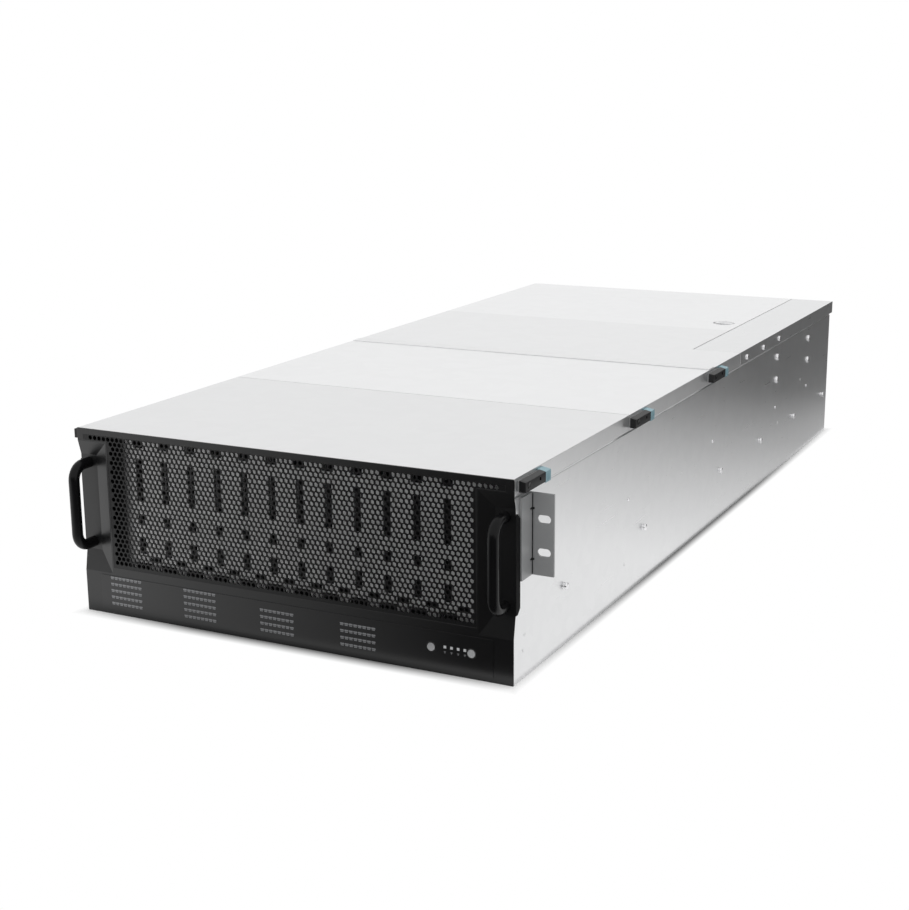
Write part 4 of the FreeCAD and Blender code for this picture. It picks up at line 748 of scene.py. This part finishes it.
def carrierCaps():  # frame, pull lever and light guides on top of each drive carrier
    cap = {"x": spread(-170.515, 28.63, 12), "row": 104, "low": 167, "banks": {"front": 27, "rear": 285},
           "front": ((0, 22.1, -1.0, -0.2, -146, -0.5, 0.3),),
           "frame": ((0, 22.1, 0, 101.6, 0, 2.2, 0.3), (0, 2.2, 0, 101.6, 2, 5, 0.5),
                     (19.9, 22.1, 0, 101.6, 2, 5, 0.5), (2, 20.1, 0, 3, 2, 4.6, 0.4),
                     (2, 20.1, 85, 101.6, 2, 4.4, 0.5)),
           "lever": ((3, 19.1, 5.5, 81, 2.4, 4.2, 0.7, 2),
                     *[(5, 17.1, y, y + 1.8, 4, 4.9, 0.35) for y in spread(10, 4, 6)]),
           "touch": ((6, 16.1, 68, 77, 4, 4.8, 0.4, 2),),
           "light": [(x, x + 2, 93, 96.5, 4.3, 4.7, 0.15) for x in (5.5, 9.5)],
           "hinge": ((2.1, 81.5, 3.4), (20, 81.5, 3.4)), "hingeRadius": 1.3, "hingeCorners": 10}
    fronts = bmesh.new()
    for bank, start in cap["banks"].items():
        frames, levers, pads, lights = (bmesh.new() for k in range(4))
        meshes = {"front": fronts, "frame": frames, "lever": levers, "touch": pads, "light": lights}
        for x in cap["x"]:
            for y in spread(start, cap["row"], 2):
                corner = (x, y, cap["low"])
                for kind, bm in meshes.items():
                    addBlocks(bm, corner, cap[kind])
                hinge = [[a + b for a, b in zip(corner, end)] for end in cap["hinge"]]
                addTube(levers, hinge, cap["hingeRadius"], cap["hingeCorners"])
        addPiece("carrier_frames_" + bank, frames, "carrier_plastic", stands=("carriers_" + bank,))
        addPiece("carrier_levers_" + bank, levers, "latch_black")
        addPiece("carrier_touch_pads_" + bank, pads, "tab_blue")
        addPiece("carrier_lights_" + bank, lights, "light_pale")
    addPiece("carrier_fronts", fronts, "carrier_plastic")
    print("carriers")


carrierCaps()


def addBlade(bm, axis, start, fan):  # one swept blade of a fan, axis is the hub's middle
    blade = {"rootChord": 0.8, "chordGain": 0.35, "middle": 1.1, "thinning": 1.6}
    layers = []
    for side in (-0.5, 0.5):
        rows = []
        for ring in range(fan["rings"] + 1):
            out = ring / fan["rings"]
            radius = fan["root"] + (fan["tip"] - fan["root"]) * out
            pitch = math.radians(fan["rootPitch"] + (fan["tipPitch"] - fan["rootPitch"]) * out)
            chord = fan["chord"] * (blade["rootChord"] + blade["chordGain"] * out)
            row = []
            for step in range(fan["steps"] + 1):
                along = step / fan["steps"] - 0.5
                thick = side * fan["thick"] * (blade["middle"] - blade["thinning"] * abs(along))
                lift = thick + fan["bow"] * (1 - 4 * along * along)
                around = along * chord * math.cos(pitch) - lift * math.sin(pitch)
                deep = along * chord * math.sin(pitch) + lift * math.cos(pitch)
                angle = start + fan["sweep"] * out * out + around / radius
                row.append(bm.verts.new(at(axis[0] + radius * math.cos(angle), axis[1] + deep,
                                           axis[2] + radius * math.sin(angle))))
            rows.append(row)
        layers.append(rows)
    front, back = layers
    strips = [pair for rows in layers for pair in zip(rows, rows[1:])]
    strips += [(front[end], back[end]) for end in (-1, 0)]
    strips += [([row[end] for row in front], [row[end] for row in back]) for end in (0, -1)]
    for one, two in strips:
        for k in range(len(one) - 1):
            bm.faces.new((one[k], one[k + 1], two[k + 1], two[k]))


def fanRotors():  # domed hubs with swept blades
    fan = {"x": (-130, 0, 130), "z": 88, "front": 549.4, "middle": 561.4, "blades": 7, "root": 24.4,
           "tip": 54.4, "rootPitch": 46, "tipPitch": 29, "chord": 27, "bow": 2.2, "thick": 1.7, "sweep": 0.3,
           "rings": 6, "steps": 6, "hubSteps": 48,
           "hub": ((0, 0.9), (10, 0.9), (10.6, 0.3), (21.6, 0), (23.8, 0.6), (25, 2.6), (25, 24), (23, 24),
                   (23, 22), (3.4, 22), (3.4, 11), (0, 11))}
    for number, x in enumerate(fan["x"], 1):
        bm = bmesh.new()
        addLathe(bm, (x, fan["front"], fan["z"]), (0, 1, 0), fan["hub"], fan["hubSteps"])
        for a in turns(fan["blades"]):
            addBlade(bm, (x, fan["middle"], fan["z"]), a, fan)
        name = "fan_rotor_%d" % number
        addPiece("fan_wheel_%d" % number, bm, "fan_plastic", body=name, stands=(name,), sharp=35)
    print("fans")


fanRotors()


def supplyFaces():  # fan guard, fan, inlet and light on the back of each power supply
    supply = {"mid": 192.5, "lows": {"lower": 8.3, "upper": 83.6}, "back": 1020, "fan": 49.75,
              "inlet": (179.5, 7), "light": (181, 69.6), "lightSteps": 20,
              "lens": ((1.9, -0.1), (1.9, 0.25), (1.5, 0.3), (1.4, 0.65), (0.9, 1.0), (0, 1.15))}
    guard = {"rings": (4.4, 8.2, 12.0, 15.6), "ringY": 1019.5, "ringWire": 0.45, "bends": 32, "corners": 8,
             "spoke": ((2.4, 1019), (17.6, 1019.8)), "spokeWire": 0.5}
    fan = {"root": 5.6, "tip": 15.2, "rootPitch": 40, "tipPitch": 26, "chord": 8.5, "bow": 0.5, "thick": 0.8,
           "sweep": 0.3, "rings": 3, "steps": 4, "blades": 7, "middle": 1016.9, "front": 1015.1,
           "hubSteps": 32, "hub": ((16.2, 0), (16.2, 0.2), (6.2, 0.3), (6.2, 2.2), (5.6, 2.8), (0, 2.9))}
    socket = (
        (0, 26, -15, -13.8, 0, 19), (-1.5, 0.9, -0.3, 0.9, -1.5, 20.5, 0.4, 2),
        (25.1, 27.5, -0.3, 0.9, -1.5, 20.5, 0.4, 2), (-1.5, 27.5, -0.3, 0.9, -1.5, 0.7, 0.4, 2),
        (-1.5, 27.5, -0.3, 0.9, 18.3, 20.5, 0.4, 2), (0, 0.5, -14, 0, 0, 19), (25.5, 26, -14, 0, 0, 19),
        (0, 26, -14, 0, 0, 0.4), (0, 26, -14, 0, 18.6, 19))
    prongs = [(x - 1, x + 1, -14, -2.5, z - 2, z + 2, 0.5, 2) for x, z in ((6, 7), (20, 7), (13, 12))]
    mid = supply["mid"]
    back = supply["back"]
    for label, low in supply["lows"].items():
        body = "power_supply_" + label
        z = low + supply["fan"]
        wires, wheel, inlet, pins, lamp = (bmesh.new() for k in range(5))
        angles = turns(guard["bends"])
        for out in guard["rings"]:
            ring = [(mid + out * math.cos(a), guard["ringY"], z + out * math.sin(a)) for a in angles]
            addTube(wires, ring, guard["ringWire"], guard["corners"], closed=True)
        for a in spread(math.pi / 4, math.pi / 2, 4):
            spoke = [(mid + out * math.cos(a), y, z + out * math.sin(a)) for out, y in guard["spoke"]]
            addTube(wires, spoke, guard["spokeWire"], guard["corners"])
        addPiece("supply_guard_" + label, wires, "bright_fastener", body=body)
        addLathe(wheel, (mid, fan["front"], z), (0, 1, 0), fan["hub"], fan["hubSteps"])
        for a in turns(fan["blades"]):
            addBlade(wheel, (mid, fan["middle"], z), a, fan)
        addPiece("supply_fan_" + label, wheel, "fan_plastic", body=body, sharp=35)
        x, rise = supply["inlet"]
        addBlocks(inlet, (x, back, low + rise), socket)
        addPiece("mains_inlet_" + label, inlet, "fan_plastic", body=body)
        addBlocks(pins, (x, back, low + rise), prongs)
        addPiece("inlet_pins_" + label, pins, "bright_fastener", body=body)
        x, rise = supply["light"]
        addLathe(lamp, (x, back, low + rise), (0, 1, 0), supply["lens"], supply["lightSteps"])
        addPiece("supply_light_" + label, lamp, "light_pale", body=body)
    print("supplies")


supplyFaces()


def rearSockets():  # contacts and lights of the data ports, metal brackets of the cards
    port = {"x": spread(-0.8, 24, 4), "low": 9.6, "back": 1020, "contacts": spread(3.555, 1.27, 8),
            "wire": ((-5, 10.1), (-6, 9.5), (-18, 7.1)), "wireRadius": 0.28, "corners": 6,
            "liner": ((1.4, 14.6, -20.6, -18, 1.4, 12.1), (1.4, 14.6, -19, -3, 10.3, 12.1, 0.2),
                      (5.6, 10.4, -19, -1, 1.4, 2.2, 0.2)),
            "light": [(x, x + 2, -1.6, 0.1, 10.9, 12, 0.2) for x in (2.2, 11.8)]}
    liners, contacts, lights, plates, shadows, shells = (bmesh.new() for k in range(6))
    for left in port["x"]:
        corner = (left, port["back"], port["low"])
        addBlocks(liners, corner, port["liner"])
        addBlocks(lights, corner, port["light"])
        for x in port["contacts"]:
            wire = [(left + x, port["back"] + y, port["low"] + z) for y, z in port["wire"]]
            addTube(contacts, wire, port["wireRadius"], port["corners"])
    addPiece("port_liners", liners, "fan_plastic")
    addPiece("port_contacts", contacts, "bright_fastener")
    addPiece("port_lights", lights, "light_pale")

    card = {"x": (-130.8, -90.2), "low": 22.4, "inner": 1018.8,
            "plate": ((-7.2, -4.8, 0.1, 0.8, 0, 114.4, 0.15), (4.8, 7.2, 0.1, 0.8, 0, 114.4, 0.15),
                      (-5.2, 5.2, 0.1, 0.8, 0, 24, 0.15), (-9, 9, -2.2, -1.6, -1.8, 116.2, 0.15),
                      *[(-5.2, 5.2, 0.1, 0.8, z, z + 1.9, 0.15) for z in spread(24, 4.2, 22)]),
            "gap": ((-7.2, 7.2, 0, 0.15, 0, 114.4), (-3.8, 3.8, 1.5, 1.66, 3.8, 10.2),
                    (-3.8, 3.8, 1.5, 1.66, 14.3, 20.7)),
            "shell": [(-4.6, 4.6, 0.6, 1.6, z, z + 8, 0.3, 2) for z in (3, 13.5)]}
    for x in card["x"]:
        for bm, kind in ((plates, "plate"), (shadows, "gap"), (shells, "shell")):
            addBlocks(bm, (x, card["inner"], card["low"]), card[kind])
    addPiece("card_brackets", plates, "port_shell")
    # painted shade: dark sheets behind the bracket's openings and over the port openings
    addPiece("card_bracket_gap_shades", shadows, "fan_plastic")
    addPiece("card_ports", shells, "bright_fastener")
    print("rear sockets")


rearSockets()


def boardParts():  # chips, chokes, capacitors and sockets of the main board, chips and clips of the memory
    board = {"top": 9.6, "sinks": (-105.8, 29.2), "phases": spread(-33, 11, 7),
             "choke": ((-4, 4, 727, 735, 0, 6.5, 0.8, 2),),
             "driver": ((-2.5, 2.5, 719.5, 724.5, 0, 1, 0.15),),
             "can": ((3.1, 0), (3.1, 0.8), (2.85, 1.1), (3.1, 1.4), (3.1, 8.4), (2.7, 8.9), (0, 8.9)),
             "canY": 713, "canSteps": 20, "cellSpot": (100, 925), "cellSteps": 32,
             "cell": ((10, 0), (10, 3.4), (9.4, 4.0), (0, 4.0)),
             "screws": ((-182, 870), (-182, 1000), (106, 870), (106, 1000)), "screwSteps": 18,
             "screw": ((2.6, 0), (2.6, 1.0), (2.0, 1.7), (0, 1.8))}
    packages = (  # middle, width, length and height
        (-8, 926, 24, 24, 2.4), (92, 952, 15, 15, 1.6), (62, 880, 9, 14, 1.4), (-30, 886, 12, 8, 1.2),
        (-178, 930, 10, 10, 1.2), (-165, 960, 8, 12, 1.2), (10, 965, 7, 7, 1.0), (32, 975, 7, 7, 1.0),
        (56, 975, 7, 7, 1.0), (80, 975, 7, 7, 1.0), (-60, 905, 6, 9, 1.0), (-45, 950, 14, 20, 1.4),
        (102, 900, 8, 6, 1.0))
    sink = ((24, 60, 908, 944, 0, 4, 0.4),
            *[(x, x + 1.4, 909, 943, 3.8, 15, 0.3) for x in spread(25, 3.7, 10)])
    header = {"x": spread(-140, 26, 5),
              "rows": ((-9, 9, 686, 693, 0, 8, 0.5), (-7.5, 7.5, 688, 691, 7.5, 9.5, 0.3))}
    mains = ((40, 92, 685, 695, 0, 11, 0.6),
             *[(x, x + 3, y, y + 3, 10.5, 12.5, 0.3) for x in spread(41.1, 4.1, 12) for y in (686.1, 690.9)])
    chips, chokes, cans, plugs, fins, memory, clips = (bmesh.new() for k in range(7))
    top = board["top"]
    for mid in board["sinks"]:
        for phase in board["phases"]:
            x = mid + phase
            addBlocks(chokes, (x, 0, top), board["choke"])
            addBlocks(chips, (x, 0, top), board["driver"])
            addLathe(cans, (x, board["canY"], top), (0, 0, 1), board["can"], board["canSteps"])
    for x, y, wide, long, tall in packages:
        addBlocks(chips, (x, y, top), ((-wide / 2, wide / 2, -long / 2, long / 2, 0, tall, 0.25),))
    for x in header["x"]:
        addBlocks(plugs, (x, 0, top), header["rows"])
    addBlocks(plugs, (0, 0, top), mains)
    addBlocks(fins, (0, 0, top), sink)
    addLathe(cans, (*board["cellSpot"], top), (0, 0, 1), board["cell"], board["cellSteps"])
    for spot in board["screws"]:
        addLathe(cans, (*spot, top), (0, 0, 1), board["screw"], board["screwSteps"])
    addPiece("board_chips", chips, "fan_plastic")
    addPiece("board_chokes", chokes, "drive_case")
    addPiece("board_capacitors", cans, "sink_aluminium")
    addPiece("board_plugs", plugs, "carrier_plastic")
    addPiece("chipset_sink", fins, "sink_aluminium")

    module = {"banks": (-173.3, -38.3, 96.7), "slots": spread(-13.5, 9, 4),
              "chips": [(x, x + 1, y, y + 9.4, 23, 37, 0.15)
                        for x in (0.7, -1.7) for y in spread(729.3, 12.6, 10)],
              "clips": [(-2.4, 2.4, y, y + 4, 15.5, 26, 0.6, 2) for y in (723.1, 854.5)]}
    for mid in module["banks"]:
        for slot in module["slots"]:
            addBlocks(memory, (mid + slot, 0, 0), module["chips"])
            addBlocks(clips, (mid + slot, 0, 0), module["clips"])
    addPiece("memory_chips", memory, "fan_plastic")
    addPiece("memory_clips", clips, "light_pale")
    print("board parts")


boardParts()


def seenRays(tree):  # 1 for rays that see the background directly or in a reflection
    names = ("Is Camera Ray", "Is Glossy Ray", "Is Transmission Ray")
    camera, glossy, through = (addNode(tree, "LightPath", {}, name) for name in names)
    either = camera + glossy + through
    return either.math("MINIMUM", either, 1.0)


def studio():  # the photograph's camera, two lamps that mirrors don't show, a white surround
    view = {"azimuth": 0.46907, "elevation": 0.24565, "roll": -0.008244, "focal": 1600.46, "pixels": 910,
            "sensor": 36, "spot": (734.35, -1118.08, 505.17)}
    az, el, roll = view["azimuth"], view["elevation"], view["roll"]
    back = Vector((math.sin(az) * math.cos(el), -math.cos(az) * math.cos(el), math.sin(el)))
    right = Vector((math.cos(az), math.sin(az), 0))
    up = back.cross(right)
    level = right * math.cos(roll) + up * math.sin(roll)
    upright = up * math.cos(roll) - right * math.sin(roll)
    data = bpy.data.cameras.new("camera")
    data.lens = view["focal"] * view["sensor"] / view["pixels"]
    data.sensor_width = view["sensor"]
    camera = bpy.data.objects.new("camera", data)
    scene.collection.objects.link(camera)
    turn = camera.matrix_world.to_3x3()
    turn.col[0], turn.col[1], turn.col[2] = level, upright, back
    camera.matrix_world = turn.to_4x4()
    camera.location = at(*view["spot"])
    scene.camera = camera

    lamps = {
        "overhead": {"size": (3.2, 3.2), "watts": 25.5, "spot": (-0.1, 0.0, 2.3), "aim": (0, 0, 0)},
        "front": {"size": (1.8, 1.2), "watts": 6, "spot": (-1.2, -2.4, 1.3), "aim": (0, -0.4, 0.1)},
    }
    for name, lamp in lamps.items():
        area = bpy.data.lights.new(name, "AREA")
        area.shape = "RECTANGLE"
        area.size, area.size_y = lamp["size"]
        area.energy = lamp["watts"]
        obj = bpy.data.objects.new(name, area)
        obj.location = lamp["spot"]
        obj.rotation_euler = (Vector(lamp["aim"]) - obj.location).to_track_quat("-Z", "Y").to_euler()
        obj.visible_glossy = False
        scene.collection.objects.link(obj)

    ambient = 0.62  # what lights the object, while rays that see the surround find it white
    world = bpy.data.worlds.new("studio")
    scene.world = world
    world.use_nodes = True
    tree = world.node_tree
    surround = tree.nodes["Background"].inputs
    plug(tree, surround["Color"], (1, 1, 1))
    plug(tree, surround["Strength"], ambient + seenRays(tree) * (1 - ambient))
    scene.view_settings.view_transform = "Standard"
    print("camera and lamps")


studio()


def stagePlane(name, spots, finish):
    bm = bmesh.new()
    bm.faces.new([bm.verts.new(spot) for spot in spots])
    obj = meshObject(name, bm, finish.material)
    return obj


def flat(left, right, front, back, z):
    return (left, front, z), (right, front, z), (right, back, z), (left, back, z)


def standing(first, last, tall):
    return (*first, 0), (*last, 0), (*last, tall), (*first, tall)


def floorPlane():  # pale floor that glows a little, keeps the real contact shadow, has a painted contact shadow along the footprint and runs out to white
    floor = {"reach": 9.0, "shade": 0.9, "grain": 0.02, "glow": 0.12, "near": 0.001, "far": 0.027,
             "half": (0.2205, 0.5105), "paintedShadowTone": 0.25, "paintedShadowGlow": 0.04, "squeeze": (3.2, 1.8), "turn": 3,
             "ramp": 0.36}
    f = Finish("floor")
    grain = f.noise(40, 3)
    halfX, halfY = floor["half"]
    across = abs(f.axis("X"))
    along = abs(f.axis("Y"))
    sideways, lengthways = floor["squeeze"]
    aside = across.math("MAXIMUM", (across - halfX) * sideways, (along - halfY) * lengthways)
    inset = across.math("MAXIMUM", (halfX - across) * floor["turn"], halfY - along)  # from the nearest corner
    away = f.band(aside, floor["near"], floor["far"]) * seenRays(f.tree)
    # painted contact shadow: the floor is darkest along the middle of each side of the footprint and fades
    # towards the corners
    deep = f.band(inset, 0.0, floor["ramp"])
    pale = f.mix(grain, (floor["shade"],) * 3, (floor["shade"] + floor["grain"],) * 3)
    contact = f.mix(deep, pale, (floor["paintedShadowTone"],) * 3)
    light = f.mix(deep, (floor["glow"],) * 3, (floor["paintedShadowGlow"],) * 3)
    f.glow(f.mix(away, light, (1, 1, 1)), f.mix(away, contact, black))
    f.shade({"Roughness": 0.9})
    reach = floor["reach"]
    stagePlane("floor", flat(-reach, reach, -reach, reach, 0), f)
    print("floor")


floorPlane()


def cards():  # cards beside the object, seen only in its reflections
    near, far, begin, end, z = 0.222, 2.6, -0.5, 3, 0.002
    right, left, front, dark = (Finish("card_" + name) for name in ("right", "left", "front", "dark"))
    fall = right.ramp(right.axis("Y"), start=-0.14, rate=1.15)
    close = right.ramp(right.axis("X"), start=near, rate=9)
    rise = right.ramp(right.axis("Y"), start=0.42, rate=4)
    fallDrop, fallGain, riseGain = 0.88, 0.1, 0.2
    right.glow(1.0 - fall * fallDrop + (1 - close) * (fall * fallGain + rise * riseGain))
    leftLight, leftDrop = 0.95, 0.5
    left.glow(leftLight - left.ramp(left.axis("Y"), start=-0.5, rate=1) * leftDrop)
    frontLight, frontDrop, slant, slantFrom = 1.4, 1.38, 0.67, -0.556
    slanted = front.axis("X") - (front.axis("Y") - slantFrom) * slant
    front.glow(frontLight - front.ramp(slanted, start=-0.24, rate=2.5) * frontDrop)
    dark.shade({"Base Color": (0.02, 0.02, 0.02), "Roughness": 0.9, "Specular IOR Level": 0.0})
    planes = (
        stagePlane("card_right", flat(near, far, begin, end, z), right),
        stagePlane("card_left", flat(-far, -near, begin, end, z), left),
        stagePlane("card_front", flat(-1.6, 1.6, -2.2, -0.525, z), front),
        stagePlane("card_stand", standing((-1.5, -2.25), (2.2, -2.25), 0.5), dark),
        stagePlane("card_rear", standing((0.3, 3.0), (3.2, 2.2), 1.2), dark),
    )
    for plane in planes:
        for ray in ("camera", "diffuse", "shadow", "transmission"):
            setattr(plane, "visible_" + ray, False)
    print("cards")


cards()
